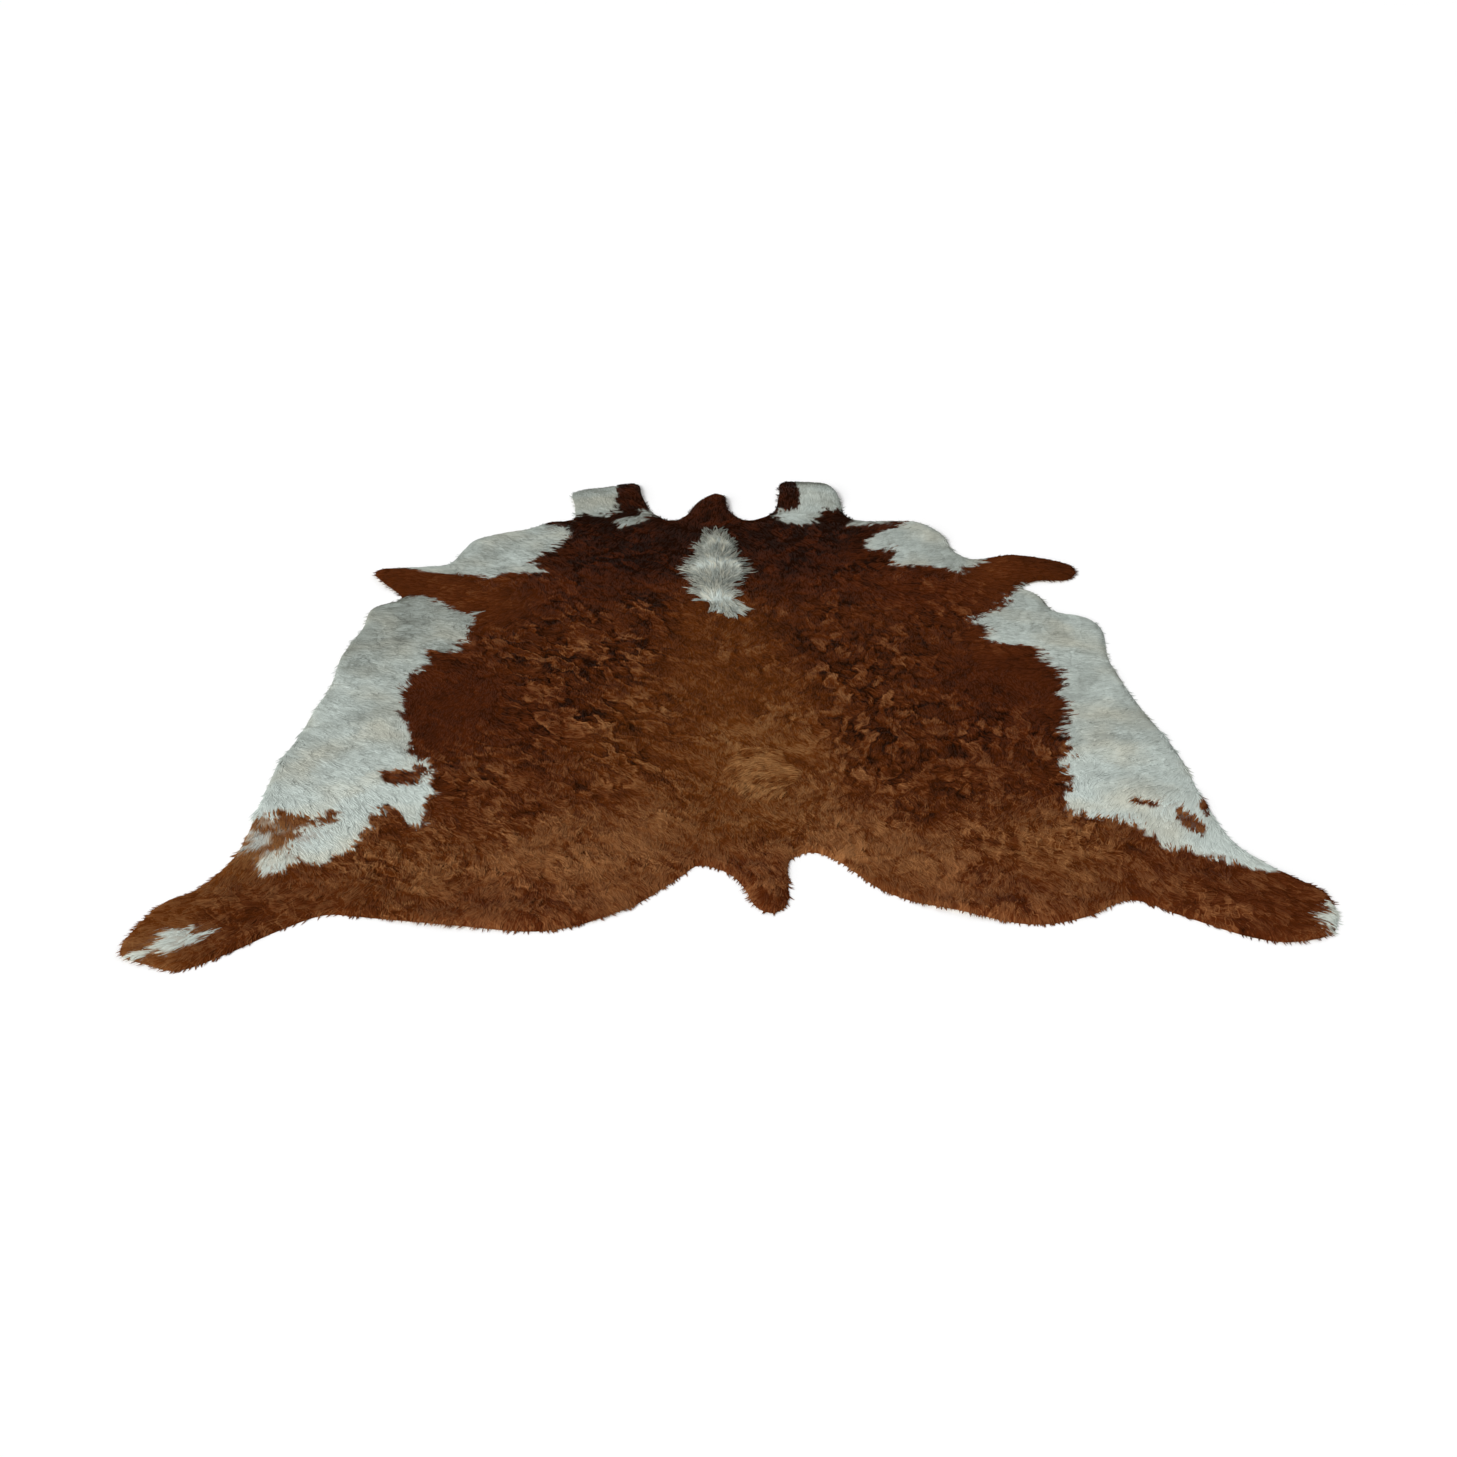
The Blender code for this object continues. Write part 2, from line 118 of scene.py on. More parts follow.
# How the coat grows at places on the hide. Heading is where the hair points, in degrees from across the hide,
# hair its length in millimetres, curl 0 smooth to 1 curly, shade 0 dark to 1 light, gold 0 red to 1 golden.
# Shade is the hair's own tone, and in the white places also painted shade that greys the white towards the
# head.
PLACES = (
    # across, along, heading, hair, curl, shade, gold
    (0.03, 0.90, 80, 22, 0.3, 0.18, 0.0),       # poll
    (-0.24, 0.94, 100, 20, 0.1, 0.40, 0.0),     # left cheek
    (0.33, 0.93, 90, 20, 0.1, 0.50, 0.0),       # right cheek
    (0.24, 0.93, 90, 22, 0.2, 0.08, 0.0),
    (-0.20, 0.76, -110, 26, 0.4, 0.03, 0.0),    # left side of the neck
    (0.25, 0.72, -75, 26, 0.35, 0.03, 0.0),     # right side of the neck
    (-0.22, 0.58, -100, 28, 0.5, 0.08, 0.0),
    (0.27, 0.55, -85, 26, 0.45, 0.12, 0.0),
    (-0.30, 0.42, -95, 24, 0.4, 0.28, 0.1),
    (0.33, 0.40, -80, 24, 0.4, 0.28, 0.1),
    (-0.46, 0.66, -30, 30, 0.2, 0.55, 0.0),     # left shoulder, white
    (-0.55, 0.56, -15, 30, 0.2, 0.55, 0.0),
    (-0.66, 0.47, 175, 24, 0.05, 0.42, 0.3),    # left fore leg
    (-0.78, 0.52, 165, 26, 0.10, 0.38, 0.3),
    (-0.55, 0.40, -170, 24, 0.2, 0.42, 0.3),
    (0.53, 0.65, -150, 30, 0.2, 0.60, 0.0),     # right shoulder, white
    (0.58, 0.52, -160, 28, 0.3, 0.50, 0.1),
    (0.74, 0.48, -5, 24, 0.05, 0.40, 0.3),      # right fore leg
    (0.88, 0.46, 0, 26, 0.10, 0.30, 0.3),
    (0.52, 0.38, -30, 26, 0.4, 0.38, 0.1),
    (-0.74, 0.32, -10, 30, 0.1, 0.30, 0.0),     # left belly, white
    (-0.72, 0.15, -20, 30, 0.2, 0.44, 0.0),
    (-0.76, -0.10, -25, 30, 0.3, 0.65, 0.0),
    (-0.78, -0.35, -30, 32, 0.3, 0.70, 0.0),
    (-0.68, -0.50, -55, 34, 0.3, 0.95, 0.0),
    (-0.80, -0.66, -60, 34, 0.3, 1.00, 0.0),
    (0.82, 0.20, -170, 28, 0.2, 0.60, 0.0),     # right belly, white
    (0.78, 0.00, 170, 30, 0.3, 0.65, 0.0),
    (0.82, -0.25, -165, 30, 0.2, 0.65, 0.0),
    (0.84, -0.48, -150, 32, 0.3, 0.75, 0.0),
    (0.90, -0.72, -110, 34, 0.1, 0.95, 0.0),
    (0.74, -0.60, -120, 34, 0.2, 0.95, 0.0),
    (-0.60, -0.10, -100, 14, 0.15, 0.33, 0.1),  # smooth dark flank, left
    (-0.60, -0.22, -100, 15, 0.2, 0.35, 0.1),
    (0.65, -0.14, -80, 14, 0.15, 0.33, 0.1),    # smooth dark flank, right
    (0.60, -0.32, -80, 18, 0.6, 0.33, 0.1),
    (0.63, -0.50, -80, 22, 0.9, 0.42, 0.2),
    (-0.35, 0.05, -70, 24, 1.0, 0.34, 0.3),     # curly zones beside the back
    (-0.38, -0.22, -58, 24, 1.0, 0.38, 0.2),
    (-0.20, 0.20, -75, 22, 0.8, 0.36, 0.3),
    (0.32, 0.05, -85, 24, 0.9, 0.33, 0.3),
    (0.40, -0.30, -88, 24, 1.0, 0.36, 0.3),
    (0.30, 0.22, -85, 22, 0.7, 0.34, 0.3),
    (0.03, 0.15, -88, 18, 0.4, 0.42, 0.8),      # golden hair along the spine
    (0.05, -0.10, -90, 18, 0.4, 0.43, 0.9),
    (0.05, -0.35, -80, 20, 0.4, 0.58, 1.0),
    (0.06, -0.60, -88, 20, 0.6, 0.56, 0.8),
    (-0.15, -0.30, -70, 20, 0.7, 0.46, 0.7),
    (-0.45, -0.50, -55, 22, 0.8, 0.44, 0.3),
    (-0.60, -0.55, -60, 22, 0.8, 0.46, 0.3),
    (0.40, -0.58, -80, 22, 0.8, 0.43, 0.3),
    (-0.30, -0.72, -75, 24, 0.8, 0.72, 0.4),    # rump
    (0.28, -0.74, -88, 24, 0.7, 0.72, 0.4),
    (-0.62, -0.72, -95, 24, 0.9, 0.58, 0.5),
    (0.62, -0.76, -60, 24, 0.8, 0.60, 0.5),
    (-0.40, -0.90, -92, 26, 0.6, 0.60, 0.1),
    (0.48, -0.93, -88, 26, 0.6, 0.60, 0.1),
    (0.05, -0.86, -95, 28, 0.7, 0.56, 0.1),     # tail
    (-0.85, -0.84, -150, 28, 0.5, 0.52, 0.3),   # left hind leg
    (-0.92, -0.93, -140, 28, 0.6, 0.50, 0.3),
    (-1.03, -0.94, -165, 32, 0.3, 0.58, 0.9),
    (-0.93, -0.70, -110, 30, 0.2, 0.60, 1.0),
    (0.84, -0.90, -35, 28, 0.4, 0.50, 0.2),     # right hind leg
    (0.88, -1.00, -75, 28, 0.6, 0.50, 0.1),
    (1.02, -0.95, -20, 28, 0.3, 0.46, 0.2),
)

# The white patches, each as the corners of an area that may run past the outline
WHITE_PATCHES = {
    "left shoulder": (
        (-0.412, 0.797), (-0.383, 0.788), (-0.342, 0.768), (-0.330, 0.731), (-0.354, 0.694), (-0.371, 0.648),
        (-0.404, 0.607), (-0.428, 0.566), (-0.412, 0.525), (-0.383, 0.525), (-0.404, 0.498), (-0.478, 0.507),
        (-0.519, 0.498), (-0.540, 0.482), (-0.560, 0.496), (-0.618, 0.507), (-0.684, 0.518), (-0.733, 0.545),
        (-0.774, 0.559), (-0.760, 0.640), (-0.620, 0.800), (-0.440, 0.870)),
    "left belly": (
        (-0.800, 0.390), (-0.729, 0.395), (-0.667, 0.381), (-0.634, 0.344), (-0.601, 0.315), (-0.535, 0.290),
        (-0.548, 0.253), (-0.564, 0.204), (-0.560, 0.171), (-0.593, 0.150), (-0.577, 0.113), (-0.605, 0.096),
        (-0.647, 0.113), (-0.655, 0.068), (-0.638, 0.051), (-0.667, 0.022), (-0.696, 0.002), (-0.677, -0.027),
        (-0.705, -0.078), (-0.688, -0.103), (-0.677, -0.152), (-0.696, -0.169), (-0.667, -0.210),
        (-0.647, -0.260), (-0.647, -0.297), (-0.659, -0.334), (-0.626, -0.362), (-0.601, -0.383),
        (-0.596, -0.415), (-0.605, -0.441), (-0.581, -0.494), (-0.601, -0.519), (-0.600, -0.605),
        (-0.614, -0.622), (-0.634, -0.593), (-0.655, -0.540), (-0.684, -0.535), (-0.708, -0.556),
        (-0.700, -0.589), (-0.717, -0.622), (-0.721, -0.663), (-0.750, -0.696), (-0.783, -0.725),
        (-0.824, -0.704), (-0.840, -0.746), (-0.890, -0.754), (-0.898, -0.729), (-0.881, -0.696),
        (-0.857, -0.667), (-0.824, -0.638), (-0.850, -0.612), (-0.800, -0.600), (-0.774, -0.589),
        (-0.750, -0.545), (-0.783, -0.550), (-0.816, -0.573), (-0.865, -0.544), (-0.923, -0.564),
        (-1.000, -0.560), (-1.000, 0.000), (-0.920, 0.350)),
    "left hind foot": (
        (-1.048, -0.978), (-1.022, -0.952), (-1.036, -0.918), (-1.010, -0.928), (-0.990, -0.915),
        (-0.975, -0.934), (-0.925, -0.926), (-0.958, -0.948), (-0.962, -0.966), (-0.985, -0.972),
        (-1.005, -0.992), (-1.018, -0.980)),
    "left hind toe": ((-1.095, -0.998), (-1.050, -0.972), (-1.020, -0.975), (-1.070, -1.000)),
    "right shoulder streak": ((0.400, 0.738), (0.450, 0.742), (0.515, 0.752), (0.530, 0.800), (0.430, 0.800)),
    "right shoulder": (
        (0.560, 0.780), (0.544, 0.755), (0.535, 0.714), (0.482, 0.681), (0.449, 0.652), (0.432, 0.599),
        (0.482, 0.587), (0.515, 0.574), (0.498, 0.541), (0.486, 0.517), (0.494, 0.484), (0.564, 0.496),
        (0.597, 0.479), (0.622, 0.451), (0.651, 0.441), (0.647, 0.471), (0.675, 0.463), (0.700, 0.475),
        (0.713, 0.517), (0.720, 0.600), (0.680, 0.740)),
    "right belly": (
        (0.800, 0.375), (0.778, 0.364), (0.766, 0.327), (0.737, 0.298), (0.717, 0.253), (0.688, 0.216),
        (0.618, 0.195), (0.647, 0.158), (0.663, 0.113), (0.651, 0.096), (0.675, 0.055), (0.729, 0.055),
        (0.762, 0.022), (0.762, 0.000), (0.783, -0.054), (0.778, -0.095), (0.783, -0.136), (0.758, -0.185),
        (0.766, -0.218), (0.754, -0.251), (0.754, -0.301), (0.729, -0.350), (0.733, -0.391), (0.717, -0.432),
        (0.688, -0.461), (0.708, -0.507), (0.700, -0.548), (0.667, -0.589), (0.680, -0.610), (0.659, -0.634),
        (0.708, -0.655), (0.758, -0.651), (0.787, -0.688), (0.820, -0.717), (0.824, -0.754), (0.877, -0.795),
        (0.943, -0.811), (0.956, -0.844), (0.993, -0.861), (1.026, -0.861), (1.060, -0.800), (1.020, 0.200),
        (0.950, 0.300)),
    "right hind foot": ((1.042, -1.001), (1.080, -0.956), (1.110, -0.980), (1.090, -1.080), (1.046, -1.075)),
    "neck stripe": (
        (0.030, 0.700), (0.020, 0.665), (0.005, 0.640), (0.008, 0.590), (-0.015, 0.530), (-0.030, 0.480),
        (-0.010, 0.430), (-0.005, 0.380), (-0.012, 0.330), (0.015, 0.300), (0.045, 0.262), (0.075, 0.258),
        (0.080, 0.290), (0.062, 0.325), (0.068, 0.375), (0.078, 0.430), (0.100, 0.470), (0.095, 0.525),
        (0.075, 0.570), (0.085, 0.630), (0.065, 0.670), (0.055, 0.700)),
    "left cheek": ((-0.206, 1.060), (-0.206, 0.950), (-0.212, 0.850), (-0.260, 0.838), (-0.345, 0.838),
                   (-0.350, 1.060)),
    "left brow": ((-0.095, 0.915), (-0.124, 0.870), (-0.165, 0.835), (-0.225, 0.806), (-0.198, 0.760),
                  (-0.140, 0.797), (-0.110, 0.830)),
    "right cheek": ((0.285, 1.060), (0.290, 0.960), (0.285, 0.880), (0.262, 0.840), (0.215, 0.845),
                    (0.214, 0.780), (0.276, 0.751), (0.313, 0.768), (0.325, 0.805), (0.350, 0.838),
                    (0.420, 0.822), (0.430, 1.060)),
}
# Brown spots inside the white: across, along, heading in degrees, length, width
BROWN_SPOTS = (
    (-0.655, -0.433, -20, 0.095, 0.060), (-0.620, -0.408, -60, 0.050, 0.030),
    (0.824, -0.622, -25, 0.060, 0.022), (0.898, -0.690, -75, 0.100, 0.042), (0.947, -0.638, 70, 0.070, 0.030),
    (-0.560, 0.490, 10, 0.050, 0.014),
)

# The long white hair on the neck, from its lower end up: along, middle, half width at the roots, light, which
# is painted light on each tier's crest and painted shade in the grey below it
STRIPE = (
    (0.250, 0.062, 0.020, 0.30), (0.280, 0.060, 0.032, 0.44), (0.305, 0.042, 0.040, 0.70),
    (0.330, 0.026, 0.038, 1.05), (0.355, 0.024, 0.036, 0.86), (0.380, 0.026, 0.036, 0.48),
    (0.410, 0.030, 0.042, 0.34), (0.440, 0.034, 0.050, 0.26), (0.465, 0.036, 0.058, 0.30),
    (0.490, 0.038, 0.058, 0.46), (0.510, 0.038, 0.054, 0.88), (0.535, 0.040, 0.046, 0.78),
    (0.565, 0.042, 0.038, 0.44), (0.600, 0.044, 0.038, 0.24), (0.625, 0.046, 0.040, 0.30),
    (0.650, 0.046, 0.038, 0.62), (0.685, 0.044, 0.030, 0.34), (0.725, 0.042, 0.024, 0.20),
)
# Where white and brown hair grow mixed: across, along, heading in degrees, length, width, share of the other
MIXED = (
    (-0.910, -0.640, -50, 0.270, 0.180, 1.10), (-0.800, -0.640, 30, 0.120, 0.070, 0.50),
    (0.880, -0.660, -75, 0.220, 0.120, 0.30), (-0.640, -0.420, -50, 0.130, 0.100, 0.35),
    (0.480, 0.740, -20, 0.180, 0.080, 0.55), (-0.130, 0.830, 40, 0.160, 0.060, 0.40),
    (-0.370, 0.770, 40, 0.120, 0.070, 0.50), (-1.010, -0.955, 25, 0.160, 0.100, 0.40),
)
# Bands of painted light and shade on the coat, mostly painted shade on the cheeks' far edges, a rolled edge
# and ripples of the white belly, and painted light on the cheeks' near slopes: across, along, heading in
# degrees, length, width, change
BANDS = (
    (0.340, 1.015, -12, 0.280, 0.080, -0.62), (-0.250, 1.040, 5, 0.260, 0.050, -0.40),
    (0.330, 0.945, -12, 0.200, 0.060, 0.12), (-0.270, 0.960, 4, 0.200, 0.090, 0.14),
    (-0.755, 0.372, 25, 0.160, 0.050, -0.35), (0.250, 0.800, -10, 0.120, 0.060, 0.16),
    (-0.700, 0.180, 60, 0.300, 0.080, -0.14), (-0.790, 0.020, -30, 0.260, 0.080, -0.14),
    (-0.740, -0.180, 20, 0.260, 0.080, -0.12), (-0.840, -0.300, -20, 0.300, 0.080, -0.12),
    (0.800, -0.150, 30, 0.260, 0.070, -0.14), (0.850, -0.380, -20, 0.260, 0.070, -0.14),
    (0.750, 0.130, -20, 0.240, 0.070, -0.12), (0.060, -0.470, 75, 0.220, 0.140, 0.16),
    (0.150, -0.420, -50, 0.180, 0.045, -0.20),
)

# Steps of the outline, of the grid that holds each point's distance from the rim, and of the coat's own grid
LOOP_STEP, RIM_STEP, COAT_STEP = 0.004, 0.006, 0.003
# Distance between two tufts' roots, and how far from its middle a tuft's spots are looked for
TUFT_SPACING, TUFT_REACH = 0.022, 0.066
# Distances between the stripe's clumps, between its strands and between the whorl's strands
CLUMP_SPACING, STRAND_SPACING, WHORL_SPACING = 0.0125, 0.0043, 0.0052
# A long strand's width, and how far its crest stands up in the stripe and in the whorl
STRAND_WIDTH, STRIPE_LIFT, WHORL_LIFT = 0.0034, 0.0040, 0.0026
# The whorl's middle, its half length each way and the tip that it is brushed to, across and along the hide
WHORL_MIDDLE, WHORL_HALF, WHORL_TIP = (0.062, -0.470), (0.070, 0.100), (0.200, -0.495)


def linear(colour):
    """A hex sRGB colour as linear RGBA: each share c becomes ((c + 0.055) / 1.055) to the power 2.4, and
    below 0.04045 it becomes c / 12.92."""
    shares = [(colour >> shift & 255) / 255 for shift in (16, 8, 0)]
    return [c / 12.92 if c <= 0.04045 else ((c + 0.055) / 1.055) ** 2.4 for c in shares] + [1.0]


class HideSizes(PropertyGroup):
    """The skin's and the coat's sizes and colours."""
    leather: FloatProperty(name="Leather", description="Thickness of the tanned skin", default=0.0025,
                           unit="LENGTH")
    undercoat: FloatProperty(name="Undercoat", description="Depth of the dense hair under the locks",
                             default=0.0045, unit="LENGTH")
    curl_height: FloatProperty(name="Curl height", description="How far the curls stand above the coat",
                               default=0.0045, unit="LENGTH")
    lock_width: FloatProperty(name="Lock width", description="Width of a lock of hair", default=0.0038,
                              unit="LENGTH")
    lock_spacing: FloatProperty(name="Lock spacing", description="Distance between the roots of one layer",
                                default=0.0107, unit="LENGTH")
    rim_reach: FloatProperty(name="Rim reach", description="How far tips of hair pass the skin's edge",
                             default=0.008, unit="LENGTH")
    layers: IntProperty(name="Layers", description="Layers of locks over the whole hide", default=4, min=1)
    seed: IntProperty(name="Seed", description="Start of every random number", default=11)
    # The brown ramp's dark end is also the painted shade in the coat's depth, and its pale end also the
    # painted highlight on its crests
    brown_dark_and_shaded: FloatVectorProperty(name="Brown roots", description="Hair in the depth of the brown coat",
                                    subtype="COLOR", size=4, default=linear(0x1C0B04))
    brown: FloatVectorProperty(name="Brown", description="The red-brown hair", subtype="COLOR", size=4,
                               default=linear(0x4B200B))
    brown_pale_and_lit: FloatVectorProperty(name="Brown tips", description="The sunlit crests of the brown coat",
                                   subtype="COLOR", size=4, default=linear(0x8A5834))
    # The golden ramp's dark end is also the painted shade in the coat's depth, and its pale end also the
    # painted highlight on its crests
    gold_dark_and_shaded: FloatVectorProperty(name="Gold roots", description="Hair in the depth of the golden coat",
                                   subtype="COLOR", size=4, default=linear(0x2A1405))
    gold: FloatVectorProperty(name="Gold", description="The golden hair along the spine", subtype="COLOR",
                              size=4, default=linear(0x5C2F0E))
    gold_pale_and_lit: FloatVectorProperty(name="Gold tips", description="The crests of the golden hair",
                                  subtype="COLOR", size=4, default=linear(0x93683F))
    # The grey of white hair in painted shade, at the dark end of the white ramp
    white_shaded_grey: FloatVectorProperty(name="White roots", description="Hair in the depth of the white coat",
                                    subtype="COLOR", size=4, default=linear(0x656860))
    white: FloatVectorProperty(name="White", description="The white hair", subtype="COLOR", size=4,
                               default=linear(0xC0CCC8))
    cream: FloatVectorProperty(name="Cream", description="White hair where it is creamy", subtype="COLOR",
                               size=4, default=linear(0xC3C0AE))
    suede: FloatVectorProperty(name="Suede", description="The tanned underside", subtype="COLOR", size=4,
                               default=linear(0xC2B59E))
    suede_dark: FloatVectorProperty(name="Suede, darker", description="The underside's darker mottling",
                                    subtype="COLOR", size=4, default=linear(0xA79C88))


class StageSizes(PropertyGroup):
    """The floor, the lights and the camera."""
    floor: FloatVectorProperty(name="Floor", description="The pale floor", subtype="COLOR", size=4,
                               default=linear(0xFCFCFC))
    room: FloatVectorProperty(name="Room", description="The colour of the room's light", subtype="COLOR",
                              size=4, default=linear(0xF6F6F6))
    key: FloatProperty(name="Key light", description="The soft light from the front left", default=1.65)
    low_key: FloatProperty(name="Low light", default=2.0,
                           description="The wide low light behind it, which throws the soft shadows")
    fill: FloatProperty(name="Fill light", description="The light of the whole room", default=0.55)
    lens: FloatProperty(name="Lens", description="The camera's focal length", default=43.14, unit="CAMERA")


# --- Shapes in the plane

def curve_through(marks, steps):
    """A closed centripetal Catmull-Rom curve through the marks: each stretch blends the three lines through
    its neighbours' marks by the square roots of their lengths."""
    marks = np.array(marks)
    before, start, end, beyond = (np.roll(marks, shift, axis=0)[:, None, :] for shift in (1, 0, -1, -2))
    knots = [np.zeros((len(marks), 1, 1))]
    for a, b in ((before, start), (start, end), (end, beyond)):
        knots.append(knots[-1] + np.sqrt(np.linalg.norm(b - a, axis=2, keepdims=True)))
    here = knots[1] + (knots[2] - knots[1]) * np.linspace(0.0, 1.0, steps, endpoint=False)[None, :, None]

    def blend(a, b, i, j):
        return a + (b - a) * (here - knots[i]) / (knots[j] - knots[i])

    first, second, third = blend(before, start, 0, 1), blend(start, end, 1, 2), blend(end, beyond, 2, 3)
    first, second = blend(first, second, 0, 2), blend(second, third, 1, 3)
    return blend(first, second, 1, 2).reshape(-1, 2)


def evenly_spaced(loop, spacing):
    """Points at equal steps of run round a closed loop."""
    closed = np.vstack([loop, loop[:1]])
    run = np.concatenate([[0.0], np.cumsum(np.linalg.norm(np.diff(closed, axis=0), axis=1))])
    at = np.linspace(0.0, run[-1], round(run[-1] / spacing), endpoint=False)
    return np.stack([np.interp(at, run, closed[:, axis]) for axis in (0, 1)], axis=1)


def hide_loop():
    """The outline on the floor: a curve of 16 steps between two marks, cut anew into steps of 4 mm."""
    return evenly_spaced(curve_through(OUTLINE, 16), LOOP_STEP) + PATTERN_ORIGIN


def outward(loop):
    """The direction away from the hide at each point of a clockwise loop: the step between its neighbours,
    turned a quarter turn to the left."""
    along = np.roll(loop, -1, axis=0) - np.roll(loop, 1, axis=0)
    along /= np.linalg.norm(along, axis=1)[:, None]
    return np.stack([-along[:, 1], along[:, 0]], axis=1)


def rim_distance(loop, points):
    """How far each point is from a loop of close points: the nearest point's distance, measured square to the
    loop there, and positive inside."""
    away = outward(loop)
    result = np.empty(len(points))
    for first in range(0, len(points), 4000):
        rows = slice(first, first + 4000)
        gap = points[rows, None, :] - loop[None, :, :]
        near = (gap ** 2).sum(axis=2).argmin(axis=1)
        gap = gap[np.arange(len(near)), near]
        straight = -(gap * away[near]).sum(axis=1)
        distance = np.linalg.norm(gap, axis=1)
        result[rows] = np.where(np.abs(straight) < LOOP_STEP, straight, np.sign(straight) * distance)
    return result


def grid_over(loop, step, reach):
    """A square grid that reaches past the loop: its first corner, its rows and columns, and its points."""
    low, high = loop.min(axis=0) - reach, loop.max(axis=0) + reach
    columns, rows = (np.arange(low[axis], high[axis], step) for axis in (0, 1))
    x, y = np.meshgrid(columns, rows)
    return low, (len(rows), len(columns)), np.stack([x.ravel(), y.ravel()], axis=1)


def reader(values, low, shape, step):
    """A function of points that reads the grid's values back, the nearest four blended by their distances."""
    values = values.reshape(*shape, -1)

    def read(places):
        i, j = (places - low).T / step
        a = np.clip(np.floor(i).astype(int), 0, shape[1] - 2)
        b = np.clip(np.floor(j).astype(int), 0, shape[0] - 2)
        s, t = (np.clip(v, 0.0, 1.0)[:, None] for v in (i - a, j - b))
        near = values[b, a] * (1 - s) + values[b, a + 1] * s
        far = values[b + 1, a] * (1 - s) + values[b + 1, a + 1] * s
        return (near * (1 - t) + far * t).squeeze()
    return read


def is_inside(loop, points):
    """Whether each point is inside a closed loop: an odd number of its sides lie to the point's right."""
    inside = np.zeros(len(points), bool)
    x, y = points.T
    for (x0, y0), (x1, y1) in zip(loop, np.roll(loop, -1, axis=0)):
        if y0 != y1:
            inside ^= ((y0 > y) != (y1 > y)) & (x < x0 + (y - y0) * (x1 - x0) / (y1 - y0))
    return inside


def lattice(loop, spacing):
    """Points of a triangular lattice inside the loop: rows spacing times half root three apart, every second
    row moved by half the spacing."""
    low, high = loop.min(axis=0), loop.max(axis=0)
    rows = np.arange(low[1], high[1], spacing * math.sqrt(3) / 2)
    columns = np.arange(low[0], high[0], spacing)
    x, y = np.meshgrid(columns, rows)
    x = x + (np.arange(len(rows)) % 2 * spacing / 2)[:, None]
    points = np.stack([x.ravel(), y.ravel()], axis=1)
    return points[is_inside(loop, points)]


def ripple(points, size, layer, stretch=1.0):
    """Gradient noise from about -1 to 1: at the corners of squares of the given size stand fixed random
    slopes, and between them their planes are blended by 6t^5 - 15t^4 + 10t^3. Stretch draws it out across the
    hide."""
    angles = np.random.default_rng(900 + layer).uniform(0.0, 2 * math.pi, (256, 256))
    x, y = points[:, 0] / (size * stretch), points[:, 1] / size
    i, j = np.floor(x).astype(int), np.floor(y).astype(int)
    s, t = x - i, y - j

    def plane(a, b):
        angle = angles[(i + a) % 256, (j + b) % 256]
        return np.cos(angle) * (s - a) + np.sin(angle) * (t - b)

    fade_s, fade_t = (6 * v ** 5 - 15 * v ** 4 + 10 * v ** 3 for v in (s, t))
    low = plane(0, 0) * (1 - fade_s) + plane(1, 0) * fade_s
    high = plane(0, 1) * (1 - fade_s) + plane(1, 1) * fade_s
    return (low * (1 - fade_t) + high * fade_t) * 1.5


def smooth(low, high, value):
    """0 below low, 1 above high, and 3t^2 - 2t^3 between."""
    t = np.clip((value - low) / (high - low), 0.0, 1.0)
    return t * t * (3 - 2 * t)


def rises(points, table):
    """The height of a table's bumps, each (1 - u^2 - v^2)^2 inside its oval foot."""
    height = np.zeros(len(points))
    for across, along, heading, length, width, top in table:
        turn = math.radians(heading)
        x, y = points[:, 0] - across, points[:, 1] - along
        u = (x * math.cos(turn) + y * math.sin(turn)) / (length / 2)
        v = (y * math.cos(turn) - x * math.sin(turn)) / (width / 2)
        height += top * np.clip(1.0 - u * u - v * v, 0.0, None) ** 2
    return height


# --- How the coat grows

def coat_at(points):
    """The table of places, blended at each point with weights 1 / (d^2 + r^2)^2, as columns: the hair's
    direction x and y and its length in metres, then the brown coat's curl, shade and gold, blended from the
    brown places alone, and the white coat's curl and shade, from the white ones."""
    table = np.array(PLACES)
    headings = np.radians(table[:, 2])
    spots = table[:, :2] + PATTERN_ORIGIN
    white = in_white(spots)
    growth = np.column_stack([np.cos(headings), np.sin(headings), table[:, 3] / 1000])
    result = np.empty((len(points), 8))
    for first in range(0, len(points), 20000):
        rows = slice(first, first + 20000)
        square = ((points[rows, None, :] - spots[None, :, :]) ** 2).sum(axis=2)
        weight = 1.0 / (square + 0.05 ** 2) ** 2
        result[rows, :3] = weight @ growth / weight.sum(axis=1)[:, None]
        result[rows, 3:6] = weight @ (table[:, 4:] * ~white[:, None]) / (weight @ ~white)[:, None]
        result[rows, 6:] = weight @ (table[:, 4:6] * white[:, None]) / (weight @ white)[:, None]
    result[:, :2] /= np.linalg.norm(result[:, :2], axis=1)[:, None] + 1e-9
    return result


def in_white(points):
    """Whether each point is in a white patch."""
    inside = np.zeros(len(points), bool)
    for patch in WHITE_PATCHES.values():
        inside |= is_inside(np.array(patch) + PATTERN_ORIGIN, points)
    return inside


def whiteness(points, flow, side):
    """1 in the white patches and 0 in the brown coat. The edges reach 22 mm along the middle of each tuft and
    fall back 12 mm at its sides, which draws them out into pointed teeth; noise sets them in scallops of 60
    mm and frays the brown spots."""
    tooth = 0.022 - 0.034 * np.abs(side) + 0.018 * ripple(points, 0.060, 34)
    tooth += 0.006 * ripple(points, 0.012, 31) + 0.010 * ripple(points, 0.026, 33)
    white = in_white(points - flow * tooth[:, None])
    fray = ripple(points, 0.014, 31) + 0.6 * ripple(points, 0.007, 32)
    spots = [(x + PATTERN_ORIGIN[0], y + PATTERN_ORIGIN[1], *rest, 1.0) for x, y, *rest in BROWN_SPOTS]
    return np.where(rises(points - flow * (0.012 * fray)[:, None], spots) > 0.02, 0.0, white.astype(float))


